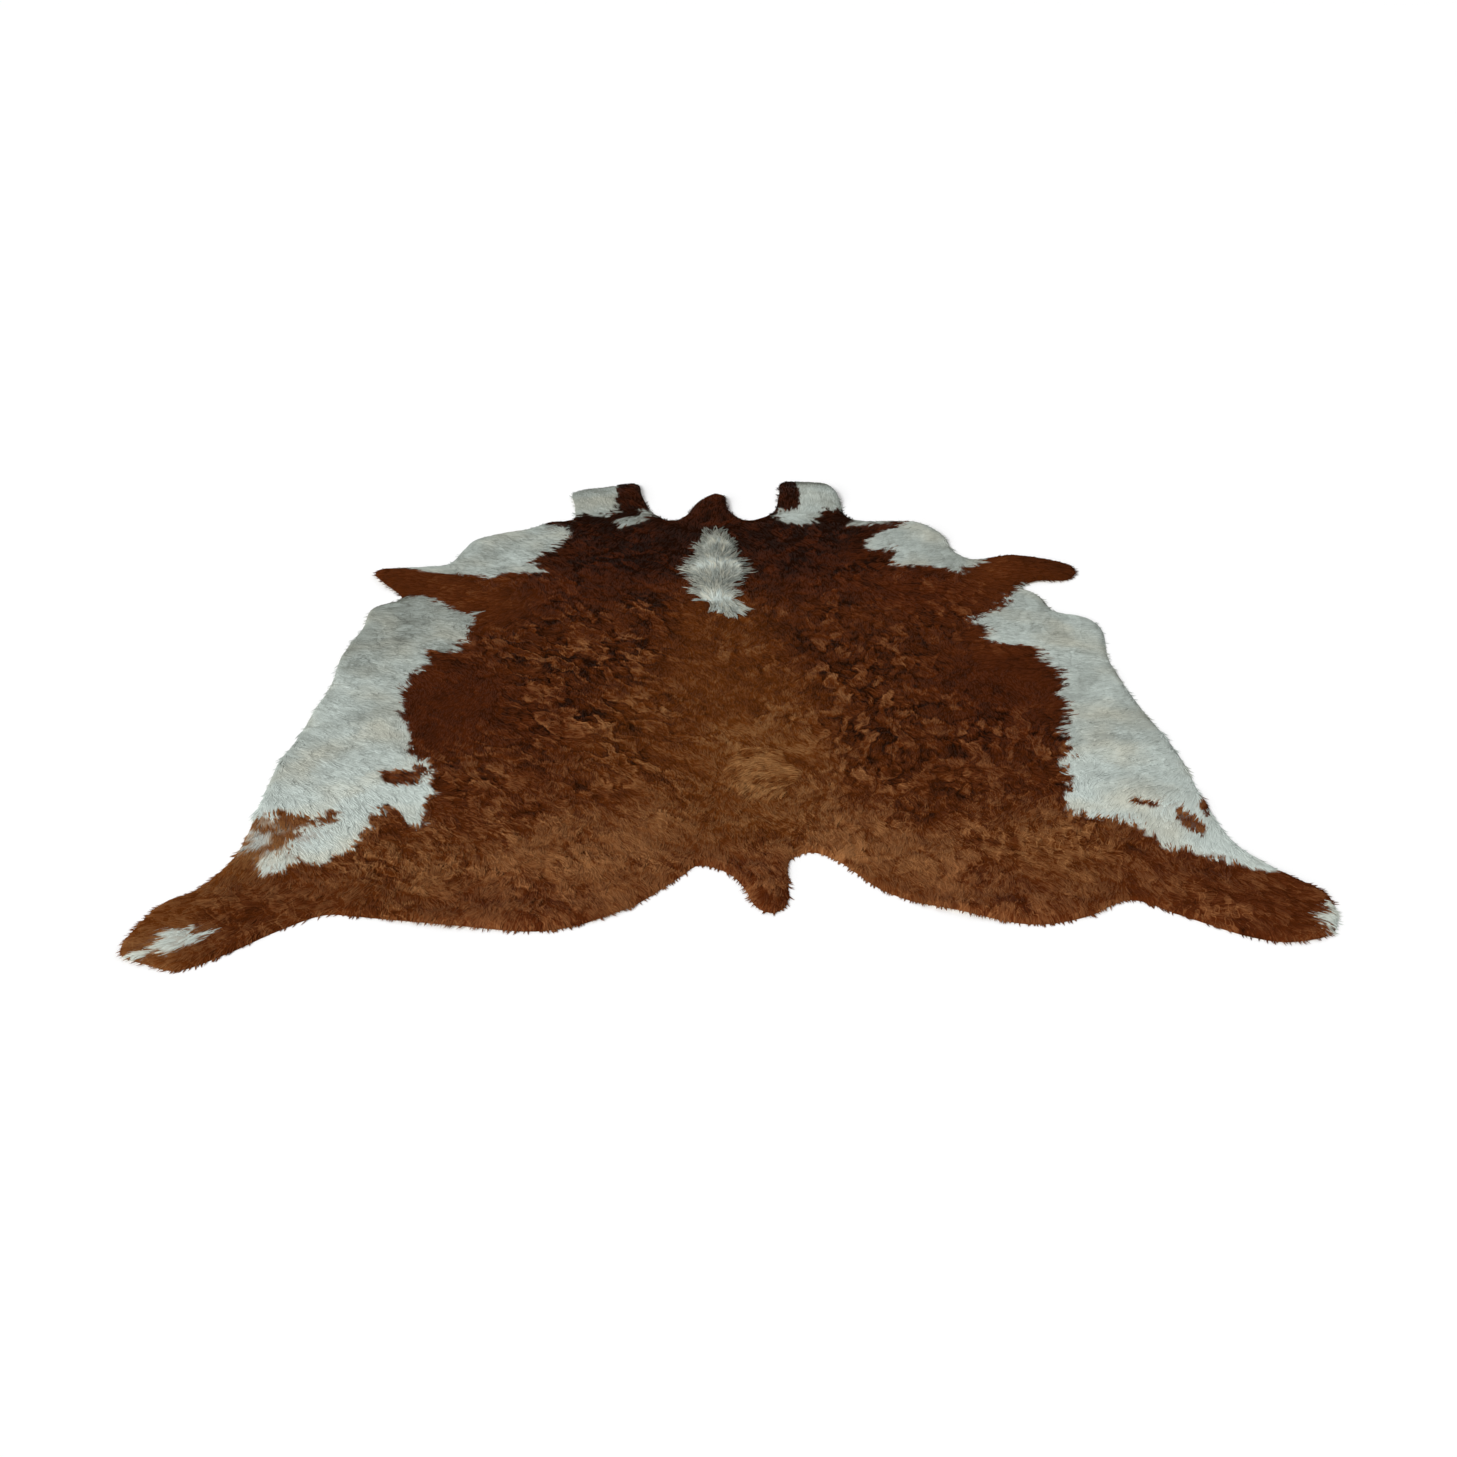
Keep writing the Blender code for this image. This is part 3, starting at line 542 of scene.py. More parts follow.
def stripe_at(points):
    """How far from the middle of the neck's stripe each point is, as a share of its half width there, and the
    stripe's light."""
    along, middle, half, light = np.array(STRIPE).T
    x, y = (points - PATTERN_ORIGIN).T
    off = (x - np.interp(y, along, middle)) / np.interp(y, along, half)
    off = np.where((y < along[0]) | (y > along[-1]), 9.0, off)
    # The tiers' edges wave, and hang lower at the stripe's sides
    wave = 0.012 * ripple(points, 0.05, 81) + 0.006 * ripple(points, 0.02, 82)
    wave -= 0.02 * np.abs(off).clip(0, 1.5) ** 2
    return off, np.interp(y - wave, along, light)


def tufts(loop, low, shape, points, step, seed):
    """The coat parts into tufts that overlap like shingles. A tuft starts at its root and runs along its own
    heading; its tip is an arc, at the share s + point * w^2 = 1 of its length, with w from -1 to 1 across it.
    Of the tufts that cover a spot, the one nearest its own tip lies on top. Slow noise bends all their edges.
    Gives, at each point of the grid, the top tuft's share, w, heading and tone."""
    rng = np.random.default_rng(seed)
    roots = lattice(loop, TUFT_SPACING)
    roots = roots + rng.uniform(-0.6, 0.6, roots.shape) * TUFT_SPACING
    count = len(roots)
    coat, base = coat_at(roots), coat_at(points)
    curl = coat[:, 3]
    heading = np.arctan2(coat[:, 1], coat[:, 0])
    pale = in_white(roots + coat[:, :2] * 0.030)
    swirl = 1.3 * ripple(roots, 0.13, 71) + 0.9 * ripple(roots, 0.06, 72) + 0.22 * rng.normal(0.0, 1.0, count)
    heading += np.where(pale, 0.10 * rng.normal(0.0, 1.0, count), (0.12 + 0.9 * curl) * swirl)
    length = np.where(pale, coat[:, 2] * rng.uniform(1.3, 2.4, count), rng.uniform(0.038, 0.095, count))
    half = np.where(pale, length * rng.uniform(0.13, 0.22, count), rng.uniform(0.0070, 0.0190, count))
    arc = np.where(pale, 0.55, 0.40)
    tone = rng.normal(0.0, 1.0, count)
    run = np.stack([np.cos(heading), np.sin(heading)], axis=1)
    fine = 0.3 * ripple(points, 0.010, 9)
    bend = [ripple(points, 0.050, layer) + 0.6 * ripple(points, 0.022, layer + 1) + fine for layer in (3, 7)]
    bend = (0.004 + 0.011 * base[:, 3:4]) * np.stack(bend, axis=1)
    calm = np.where(pale, 0.25, 1.0)[:, None]
    middle = np.floor((roots + run * (length / 2)[:, None] - low) / step).astype(int)
    found = []
    reach = int(TUFT_REACH / step)
    for dy in range(-reach, reach + 1):
        for dx in range(-reach, reach + 1):
            column, row = middle[:, 0] + dx, middle[:, 1] + dy
            cell = np.clip(row, 0, shape[0] - 1) * shape[1] + np.clip(column, 0, shape[1] - 1)
            gap = points[cell] + bend[cell] * calm - roots
            across = (gap[:, 1] * run[:, 0] - gap[:, 0] * run[:, 1]) / half
            share = (gap * run).sum(axis=1) / length + arc * across ** 2
            covers = (share > 0.02) & (share < 1.0) & (np.abs(across) < 1.0)
            found.append(np.stack([share, cell, np.arange(count), across], axis=1)[covers])
    found = np.vstack(found)
    found = found[found[:, 0].argsort()]
    cell, owner = found[:, 1].astype(int), found[:, 2].astype(int)
    # Between the tufts lies the undercoat, at a low share and with the place's own heading
    top = np.zeros((len(points), 4))
    top[:, 0], top[:, 2] = 0.30, np.arctan2(base[:, 1], base[:, 0])
    top[cell] = np.stack([found[:, 0], found[:, 3], heading[owner], tone[owner]], axis=1)
    return top, base


def skin_height(points):
    """How far the skin rises off the floor in its folds: 21 mm at most."""
    return np.minimum(rises(points, FOLDS), 0.021)


@functools.cache
def coat_map(leather, undercoat, curl_height, seed):
    """The outline, a reader of each point's distance from the rim, and a reader of the coat: its height, its
    light from 0 in the depth to 1 on the crests, which carries the coat's own tone together with painted
    shade in the depth and painted highlights on the crests, how far along its tuft the point is, its
    heading's x and y,
    1 where it is white, how golden or creamy it is, how curly, and how much white and brown mix there."""
    loop = hide_loop()
    low, shape, points = grid_over(loop, RIM_STEP, 0.09)
    inner_at = reader(rim_distance(loop[::2], points), low, shape, RIM_STEP)
    low, shape, points = grid_over(loop, COAT_STEP, 0.045)
    inner = np.maximum(inner_at(points), 0.0)
    top, coat = tufts(loop, low, shape, points, COAT_STEP, seed)
    share, side, heading, tone = top.T

    # Where it is white, where both mix, and how curly: richer in patches of 130 mm, less so on the left rump
    pale = whiteness(points, np.stack([np.cos(heading), np.sin(heading)], axis=1), side)
    mixed = np.clip(rises(points - PATTERN_ORIGIN, MIXED), 0.0, 1.0)
    blend = smooth(-0.5, 0.5, ripple(points, 0.040, 68) + 0.5 * ripple(points, 0.016, 69))
    pale = pale * (1 - mixed) + (0.04 + 0.70 * blend) * mixed
    curl, shade = coat[:, 3:5].T * (1 - pale) + coat[:, 6:].T * pale
    rich = 0.70 + 0.55 * smooth(-0.35, 0.45, ripple(points, 0.13, 63))
    x, y = (points - PATTERN_ORIGIN).T
    rich *= 1 - 0.15 * smooth(-0.38, -0.56, y) * smooth(0.10, -0.20, x)
    curl = curl * rich * (1 - 0.4 * pale) + 0.16 * pale

    # The height: the coat rounds off over the last 18 mm to the rim, and tufts rise to their tips between
    # hollows
    edge = np.clip(inner / 0.018, 0.0, 1.0)
    full = np.sqrt(edge * (2.0 - edge))
    ridge = (0.5 * share ** 1.6 + 0.6 * (1 - side ** 2)) * 1.5 - 0.75
    drift = points + 0.02 * np.stack([ripple(points, 0.06, 91), ripple(points, 0.06, 92)], axis=1)
    hollow = smooth(0.22, 0.62, ripple(drift, 0.046, 93, 0.8) + 0.45 * ripple(drift, 0.019, 94)) * (1 - pale)
    heap = curl_height * (0.30 + 0.70 * curl) * (ridge - 0.5 * hollow)
    depth = undercoat + heap + rises(points, MOUNDS) + 0.0012 * ripple(points, 0.09, 41)
    height = skin_height(points) + leather * (0.4 + 0.6 * full) + np.maximum(depth, 0.0010) * full

    # The light, painted into the colour: a painted highlight on the crests, painted shade in the pits, the
    # hollows and along the tufts' sides, slow drifts of tone, and each tuft has its own tone
    crest = 0.5 * smooth(0.45, 0.95, share) + 0.4 * (1 - side ** 2) + 0.25 * smooth(0.86, 0.98, share)
    painted_pit_shade = 0.7 * hollow + 0.5 * (1.0 - smooth(0.15, 0.45, share)) + 0.5 * smooth(0.70, 1.0, np.abs(side))
    slow = 0.07 * ripple(points, 0.12, 61) + 0.05 * ripple(points, 0.05, 62)
    light = shade + slow + (0.04 + 0.11 * curl) * (crest - 0.45)
    light -= (0.02 + curl * np.clip(0.22 - 0.24 * shade, 0.06, 0.17)) * np.minimum(painted_pit_shade, 1.0)
    light += (0.02 + 0.07 * curl) * (1 - 0.4 * pale) * tone
    _, stripe_light = stripe_at(points)
    in_stripe = pale * (np.abs(x - 0.04) < 0.16) * (y > 0.21) * (y < 0.79)
    # Painted shade and light in soft waves over the white coat, then the bands of painted light and shade
    wide = 0.12 * ripple(drift, 0.11, 66) + 0.07 * ripple(drift, 0.04, 67)
    light += pale * wide + rises(points - PATTERN_ORIGIN, BANDS)
    light = light * (1 - in_stripe) + stripe_light * in_stripe
    cream = 0.15 + 0.6 * smooth(-0.4, 1.0, ripple(points, 0.11, 64) + 0.3 * ripple(points, 0.04, 65))
    warm = np.where(pale > 0.5, cream, coat[:, 5])
    values = np.stack([height, light, share, np.cos(heading), np.sin(heading), pale, warm, curl, mixed],
                      axis=1)
    return loop, inner_at, reader(values, low, shape, COAT_STEP)


# --- Meshes

def put_mesh(name, vertices, faces, materials, body="root"):
    """A mesh object at the origin from whole arrays of points and of triangles, riding on a body."""
    mesh = bpy.data.meshes.new(name)
    mesh.vertices.add(len(vertices))
    mesh.vertices.foreach_set("co", np.asarray(vertices, np.float32).ravel())
    mesh.loops.add(faces.size)
    mesh.loops.foreach_set("vertex_index", faces.ravel().astype(np.int32))
    mesh.polygons.add(len(faces))
    mesh.polygons.foreach_set("loop_start", np.arange(0, faces.size, 3, dtype=np.int32))
    mesh.update(calc_edges=True)
    mesh.validate()
    for material in materials:
        mesh.materials.append(material)
    mesh.shade_smooth()
    thing = bpy.data.objects.new(name, mesh)
    bpy.context.scene.collection.objects.link(thing)
    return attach(thing, body)


def add_values(mesh, **values):
    """Stores one number for each vertex under each name, for the materials to read."""
    for name, numbers in values.items():
        layer = mesh.attributes.new(name, "FLOAT", "POINT")
        layer.data.foreach_set("value", np.asarray(numbers, np.float32).ravel())


def triangulated(rim, inner):
    """Triangles over the outline, with the rim's points first and the inner ones after them."""
    points = [Vector(point) for point in np.vstack([rim, inner])]
    edges = [(i, (i + 1) % len(rim)) for i in range(len(rim))]
    _, _, faces, origins, _, _ = geometry.delaunay_2d_cdt(points, edges, [], 1, 1e-7)
    return np.array([[origins[corner][0] for corner in face] for face in faces])


def skin_mesh(loop, inner_at):
    """The closed sheet: a top and an underside of triangles joined by a low wall, each triangle cut in nine.
    Before the cut its points are 14 mm apart at the rim, 30 mm on top and 80 mm below. Gives the points'
    places across and along, each one's level from 0 below to 1 on top, and the triangles."""
    rim = evenly_spaced(loop, 0.014)
    inner = lattice(loop, 0.030)
    inner = inner[inner_at(inner) > 0.016]
    under = lattice(loop, 0.080)
    under = under[inner_at(under) > 0.030]
    count, top_count = len(rim), len(rim) + len(inner)
    flat = np.vstack([rim, inner, rim, under])
    level = np.concatenate([np.ones(top_count), np.zeros(count + len(under))])
    here = np.arange(count)
    after = np.roll(here, -1)
    wall = np.stack([here, after, top_count + after, here, top_count + after, top_count + here], axis=1)
    faces = np.vstack([triangulated(rim, inner), top_count + triangulated(rim, under)[:, ::-1],
                       wall.reshape(-1, 3)])
    mesh = bpy.data.meshes.new("draft")
    mesh.from_pydata(np.column_stack([flat, level]), [], faces.tolist())
    shape = bmesh.new()
    shape.from_mesh(mesh)
    bmesh.ops.recalc_face_normals(shape, faces=shape.faces)
    bmesh.ops.subdivide_edges(shape, edges=shape.edges, cuts=2, use_grid_fill=True)
    bmesh.ops.triangulate(shape, faces=shape.faces)
    shape.to_mesh(mesh)
    shape.free()
    points = np.empty(len(mesh.vertices) * 3, np.float32)
    mesh.vertices.foreach_get("co", points)
    corners = np.empty(len(mesh.loops), np.int32)
    mesh.loops.foreach_get("vertex_index", corners)
    bpy.data.meshes.remove(mesh)
    points = points.reshape(-1, 3).astype(float)
    return points[:, :2], points[:, 2], corners.reshape(-1, 3)


def lock_mesh(roots, headings, lengths, widths, lifts, bends, coat_read, segments):
    """Locks of hair. Each is a ridge of three lines (left, crest, right) that runs from its root along its
    heading, turning by its bend for each metre, and narrows to one point. At share s of its length it is
    width * (0.55 + 1.4 s - 1.95 s^2) wide, and its crest lies lift * (0.15 + 2.2 s - 1.75 s^2) above the
    coat."""
    count = len(roots)
    shares = np.linspace(0.0, 1.0, segments + 1)
    place, heading = roots.copy(), headings.copy()
    lines, lights = [], []
    for share in shares:
        if share > 0:
            step = lengths / segments
            place = place + np.stack([np.cos(heading), np.sin(heading)], axis=1) * step[:, None]
            heading = heading + bends * step
        ground, light = coat_read(place).T[:2]
        side = np.stack([-np.sin(heading), np.cos(heading)], axis=1)
        half = widths * (0.55 + 1.4 * share - 1.95 * share ** 2) / 2
        crest = np.maximum(ground + lifts * (0.15 + 2.2 * share - 1.75 * share ** 2), 0.0006)
        drop = 0.30 * half + 0.0004
        for way in (1.0, 0.0, -1.0) if share < 1 else (0.0,):
            edge = place + side * (half * way)[:, None]
            lines.append(np.column_stack([edge, np.maximum(crest - drop * abs(way), 0.0003)]))
            lights.append(light)
    vertices, lights = np.stack(lines, axis=1), np.stack(lights, axis=1)
    pattern = []
    for k in range(segments - 1):
        a = 3 * k
        for b in (a, a + 1):
            pattern += [(b, b + 1, b + 4), (b, b + 4, b + 3)]
    a, tip = 3 * (segments - 1), 3 * segments
    pattern += [(a, a + 1, tip), (a + 1, a + 2, tip)]
    faces = np.array(pattern)[None, :, :] + (np.arange(count) * vertices.shape[1])[:, None, None]
    share = np.concatenate([np.repeat(shares[:-1], 3), [1.0]])
    across = np.concatenate([np.tile([0.0, 0.5, 1.0], segments), [0.5]])
    return vertices.reshape(-1, 3), faces.reshape(-1, 3), lights.ravel(), share, across


def gathered(roots, middles, headings, lengths, bends):
    """Hair drawn together into pointed clumps: each root belongs to the clump whose middle is nearest, and
    its hair curves by the clump's bend to that clump's own tip. Gives each hair's clump, heading, length and
    bend."""
    clump = ((roots[:, None, :] - middles[None, :, :]) ** 2).sum(axis=2).argmin(axis=1)
    tips = middles + np.stack([np.cos(headings), np.sin(headings)], axis=1) * lengths[:, None]
    way = tips[clump] - roots
    run = np.linalg.norm(way, axis=1)
    return clump, np.arctan2(way[:, 1], way[:, 0]) - bends[clump] * run / 2, run, bends[clump]


def lock_cells(count, share, across, faces):
    """A map where each lock has its own small upright cell, its root at the bottom: rows and columns of cells
    twice as high as wide. Gives one place for each corner of each triangle."""
    columns = math.ceil(math.sqrt(count * 2.0))
    rows = math.ceil(count / columns)
    index = np.arange(count)
    u = ((index % columns)[:, None] + 0.12 + 0.76 * across[None, :]) / columns
    v = ((index // columns)[:, None] + 0.08 + 0.84 * share[None, :]) / rows
    cells = np.stack([u, v], axis=2).reshape(-1, 2)
    return cells[faces.ravel()]


def put_locks(name, made, extra, material, paler=0.0):
    """A piece of locks with its cells and the values that its material reads. Paler is how much its light
    rises from its root to its tip."""
    vertices, faces, light, share, across = made
    count = len(vertices) // len(share)
    thing = put_mesh(name, vertices, faces, [material])
    cells = lock_cells(count, share, across, faces)
    layer = thing.data.uv_layers.new(name="OFBake")
    layer.uv.foreach_set("vector", cells.astype(np.float32).ravel())
    values = {key: np.repeat(numbers, len(share)) for key, numbers in extra.items()}
    light = light + values.pop("own_light") + paler * (np.tile(share, count) - 0.5)
    add_values(thing.data, run=np.tile(share, count), light=light, **values)
    return thing


# --- Materials

def add(tree, kind, inputs=None, **settings):
    """A node of a kind with its settings, whose inputs are numbers, colours or other nodes' outputs."""
    node = tree.nodes.new(kind)
    for key, value in settings.items():
        setattr(node, key, value)
    for key, value in (inputs or {}).items():
        if isinstance(value, bpy.types.NodeSocket):
            tree.links.new(value, node.inputs[key])
        else:
            node.inputs[key].default_value = value
    return node


def new_material(name, **shader_values):
    """A material with one Principled BSDF, and the tree and the shader to build on."""
    material = bpy.data.materials.new(name)
    material.use_nodes = True
    tree = material.node_tree
    shader = tree.nodes["Principled BSDF"]
    for key, value in shader_values.items():
        shader.inputs[key.replace("_", " ")].default_value = value
    return material, tree, shader


def hair_colour(tree, light, sizes):
    """Cattle hair from the values on the mesh: brown and golden hair, and white hair, each running from its
    dark and shaded colour to its pale and lit one as the light value rises, which carries painted light and
    shade."""
    gold = add(tree, "ShaderNodeAttribute", attribute_name="gold").outputs["Fac"]
    pale = add(tree, "ShaderNodeAttribute", attribute_name="pale").outputs["Fac"]
    ramps = []
    for colours in ((sizes.brown_dark_and_shaded, sizes.brown, sizes.brown_pale_and_lit),
                    (sizes.gold_dark_and_shaded, sizes.gold, sizes.gold_pale_and_lit)):
        ramp = add(tree, "ShaderNodeValToRGB", {"Fac": light})
        ramp.color_ramp.elements.new(0.45)
        for stop, colour in zip(ramp.color_ramp.elements, colours):
            stop.color = colour
        ramps.append(ramp.outputs["Color"])
    brown = add(tree, "ShaderNodeMix", {0: gold, 6: ramps[0], 7: ramps[1]}, data_type="RGBA").outputs[2]
    # The white ramp runs from the grey of white hair in painted shade to white or cream in full light
    tip = add(tree, "ShaderNodeMix", {0: gold, 6: sizes.white, 7: sizes.cream}, data_type="RGBA").outputs[2]
    white = add(tree, "ShaderNodeMix", {0: light, 6: sizes.white_shaded_grey, 7: tip}, data_type="RGBA").outputs[2]
    return add(tree, "ShaderNodeMix", {0: pale, 6: brown, 7: white}, data_type="RGBA").outputs[2]


def crested(tree, light):
    """Adds the coat's wavy crests to its light as painted light and shade: painted shade in a crease where a
    stretched noise passes its middle value, and beside it a painted highlight, a pale line about 6 mm wide
    and 60 mm long on the left half of the hide, running down to the right, or a pale blot on the right half.
    They come in patches, as strong as the hair there is curly."""
    place = add(tree, "ShaderNodeTexCoord").outputs["Object"]
    # Waves 50 mm long push the lines up to 15 mm aside
    wave = add(tree, "ShaderNodeTexNoise", {"Vector": place, "Scale": 22.0, "Detail": 2.0}).outputs["Color"]
    wave = add(tree, "ShaderNodeVectorMath", {0: wave, 1: (0.5, 0.5, 0.5)}, operation="SUBTRACT").outputs[0]
    bent = add(tree, "ShaderNodeVectorMath", {0: wave, 1: (0.055, 0.055, 0.0), 2: place},
               operation="MULTIPLY_ADD").outputs[0]
    # Towards the rump the fine lines take over from the broad ones
    across, along, _ = add(tree, "ShaderNodeSeparateXYZ", {0: place}).outputs
    fine = add(tree, "ShaderNodeMapRange", {0: along, 1: -0.35, 2: -0.62, 3: 0.24, 4: 0.55}).outputs[0]
    # One wave of the broad noise is 36 mm across the lines, and two or three times that along them. One of
    # the fine noise is 14 mm, and its lines are painted highlights, pale and about 1.5 mm wide, between thin
    # painted shade.
    broad_stops = (0.34, 0.430, 0.465, 0.500, 0.530, 0.590, 0.68)
    fine_stops, fine_greys = (0.40, 0.455, 0.50, 0.545, 0.62), (0.50, 0.36, 1.00, 0.36, 0.50)
    sides = []
    for turn, stretch, broad_greys in ((-48, 3.3, (0.48, 0.38, 0.10, 0.46, 0.84, 0.62, 0.48)),
                                       (-104, 2.0, (0.47, 0.42, 0.14, 0.34, 0.60, 0.84, 0.62))):
        run = add(tree, "ShaderNodeMapping", {"Vector": bent, "Rotation": (0.0, 0.0, math.radians(turn)),
                                              "Scale": (stretch, 1.0, 40.0)},
                  vector_type="TEXTURE").outputs[0]
        lines = []
        for scale, detail, positions, greys in ((28.0, 1.0, broad_stops, broad_greys),
                                                (70.0, 0.5, fine_stops, fine_greys)):
            noise = add(tree, "ShaderNodeTexNoise", {"Vector": run, "Scale": scale, "Detail": detail})
            line = add(tree, "ShaderNodeValToRGB", {"Fac": noise.outputs["Fac"]})
            stops = line.color_ramp.elements
            stops[0].position, stops[1].position = positions[0], positions[-1]
            for position in positions[1:-1]:
                stops.new(position)
            for stop, grey in zip(stops, greys):
                stop.color = (grey, grey, grey, 1.0)
            lines.append(line.outputs["Color"])
        sides.append(add(tree, "ShaderNodeMix", {0: fine, 6: lines[0], 7: lines[1]},
                         data_type="RGBA").outputs[2])
    right = add(tree, "ShaderNodeMapRange", {0: across, 1: -0.10, 2: 0.16}).outputs[0]
    both = add(tree, "ShaderNodeMix", {0: right, 6: sides[0], 7: sides[1]}, data_type="RGBA").outputs[2]
    # Patches of about 90 mm
    patch = add(tree, "ShaderNodeTexNoise", {"Vector": place, "Scale": 11.0, "Detail": 1.0}).outputs["Fac"]
    patch = add(tree, "ShaderNodeMapRange", {0: patch, 1: 0.42, 2: 0.58, 3: 0.60, 4: 1.0}).outputs[0]
    curl = add(tree, "ShaderNodeAttribute", attribute_name="curl").outputs["Fac"]
    strength = add(tree, "ShaderNodeMath", {0: patch, 1: curl}, operation="MULTIPLY").outputs[0]
    change = add(tree, "ShaderNodeMath", {0: both, 1: 0.5}, operation="SUBTRACT").outputs[0]
    change = add(tree, "ShaderNodeMath", {0: change, 1: 1.5}, operation="MULTIPLY").outputs[0]
    return add(tree, "ShaderNodeMath", {0: change, 1: strength, 2: light},
               operation="MULTIPLY_ADD").outputs[0]


def lock_material(sizes):
    """Clean cattle hair, combed by its growth. It gives the eye fine strands along each lock, with painted
    shade at the root that pales towards the tip, the coat's painted crests and creases, and almost no shine,
    because the strands' small highlights melt into a soft bloom."""
    material, tree, shader = new_material("cattle_hair_locks", Roughness=0.55, IOR=1.45,
                                          Specular_IOR_Level=0.03)
    # A lock is about 4 mm wide and its cell is 0.76 of a column: the noise gives it about 8 strands of
    # 0.5 mm, drawn wider than real hair of 0.06 mm, which would not show
    cells = add(tree, "ShaderNodeUVMap", uv_map="OFBake").outputs[0]
    strands = add(tree, "ShaderNodeMapping", {"Vector": cells, "Scale": (620.0, 60.0, 1.0)}).outputs[0]
    noise = add(tree, "ShaderNodeTexNoise", {"Vector": strands, "Scale": 1.0, "Detail": 1.0}).outputs["Fac"]
    light = crested(tree, add(tree, "ShaderNodeAttribute", attribute_name="light").outputs["Fac"])
    run = add(tree, "ShaderNodeAttribute", attribute_name="run").outputs["Fac"]
    # Painted shade at each lock's root, paling to its tip
    light = add(tree, "ShaderNodeMath", {0: run, 1: 0.12, 2: light}, operation="MULTIPLY_ADD").outputs[0]
    light = add(tree, "ShaderNodeMath", {0: noise, 1: 0.24, 2: light}, operation="MULTIPLY_ADD").outputs[0]
    light = add(tree, "ShaderNodeMath", {0: light, 1: 0.18}, operation="SUBTRACT", use_clamp=True).outputs[0]
    tree.links.new(hair_colour(tree, light, sizes), shader.inputs["Base Color"])
    bump = add(tree, "ShaderNodeBump", {"Height": noise, "Strength": 0.35, "Distance": 0.0008})
    tree.links.new(bump.outputs[0], shader.inputs["Normal"])
    return material


def undercoat_material(sizes):
    """The dense short hair at the skin. It gives the eye the same colours as the locks above it, a little
    darker with painted shade, as it lies under them, and quite matt, with a fine nap."""
    material, tree, shader = new_material("cattle_undercoat", Roughness=0.8, IOR=1.45,
                                          Specular_IOR_Level=0.0)
    # One wave of the nap is 1.4 mm across the hair and 5.7 mm along it
    place = add(tree, "ShaderNodeTexCoord").outputs["Object"]
    strands = add(tree, "ShaderNodeMapping", {"Vector": place, "Scale": (1.0, 0.25, 1.0)}).outputs[0]
    noise = add(tree, "ShaderNodeTexNoise", {"Vector": strands, "Scale": 700.0, "Detail": 2.0}).outputs["Fac"]
    light = crested(tree, add(tree, "ShaderNodeAttribute", attribute_name="light").outputs["Fac"])
    light = add(tree, "ShaderNodeMath", {0: noise, 1: 0.35, 2: light}, operation="MULTIPLY_ADD").outputs[0]
    light = add(tree, "ShaderNodeMath", {0: light, 1: 0.20}, operation="SUBTRACT", use_clamp=True).outputs[0]
    tree.links.new(hair_colour(tree, light, sizes), shader.inputs["Base Color"])
    bump = add(tree, "ShaderNodeBump", {"Height": noise, "Strength": 0.6, "Distance": 0.0015})
    tree.links.new(bump.outputs[0], shader.inputs["Normal"])
    return material


def suede_material(sizes):
    """Chrome-tanned suede, split and sanded. It gives the eye a matt, softly mottled cream with a short
    nap."""
    material, tree, shader = new_material("tanned_suede", Roughness=0.92, IOR=1.45, Sheen_Weight=0.25)
    # Mottling about 110 mm across, and a nap of 1.1 mm
    place = add(tree, "ShaderNodeTexCoord").outputs["Object"]
    mottle = add(tree, "ShaderNodeTexNoise", {"Vector": place, "Scale": 9.0, "Detail": 4.0}).outputs["Fac"]
    nap = add(tree, "ShaderNodeTexNoise", {"Vector": place, "Scale": 900.0, "Detail": 2.0}).outputs["Fac"]
    colour = add(tree, "ShaderNodeMix", {0: mottle, 6: sizes.suede_dark, 7: sizes.suede}, data_type="RGBA")
    tree.links.new(colour.outputs[2], shader.inputs["Base Color"])
    bump = add(tree, "ShaderNodeBump", {"Height": nap, "Strength": 0.5, "Distance": 0.0006})
    tree.links.new(bump.outputs[0], shader.inputs["Normal"])
    return material


class HIDE_OT_skin(Operator):
    """Lays the skin on the floor: one closed sheet with the undercoat on top and suede below"""
    bl_idname = "hide.skin"
    bl_label = "Lay the skin"

    def execute(self, context):
        sizes = context.scene.hide_sizes
        loop, inner_at, coat_read = coat_map(sizes.leather, sizes.undercoat, sizes.curl_height, sizes.seed)
        flat, level, faces = skin_mesh(loop, inner_at)
        height = skin_height(flat)
        top = level > 0.999
        grown = coat_read(flat)
        height[top] = grown[top, 0]
        between = ~top & (level > 0.001)
        height[between] += sizes.leather * 0.4 * level[between]
        skin = put_mesh("skin", np.column_stack([flat, height]), faces,
                        [undercoat_material(sizes), suede_material(sizes)])
        below = (level[faces] < 0.5).all(axis=1)
        skin.data.polygons.foreach_set("material_index", below.astype(np.int32))
        # The undercoat's light is set a little lower than the locks': painted shade under them
        add_values(skin.data, light=grown[:, 1] - 0.07, gold=grown[:, 6], pale=grown[:, 5],
                   curl=grown[:, 7])
        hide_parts(NODE)
        return {"FINISHED"}


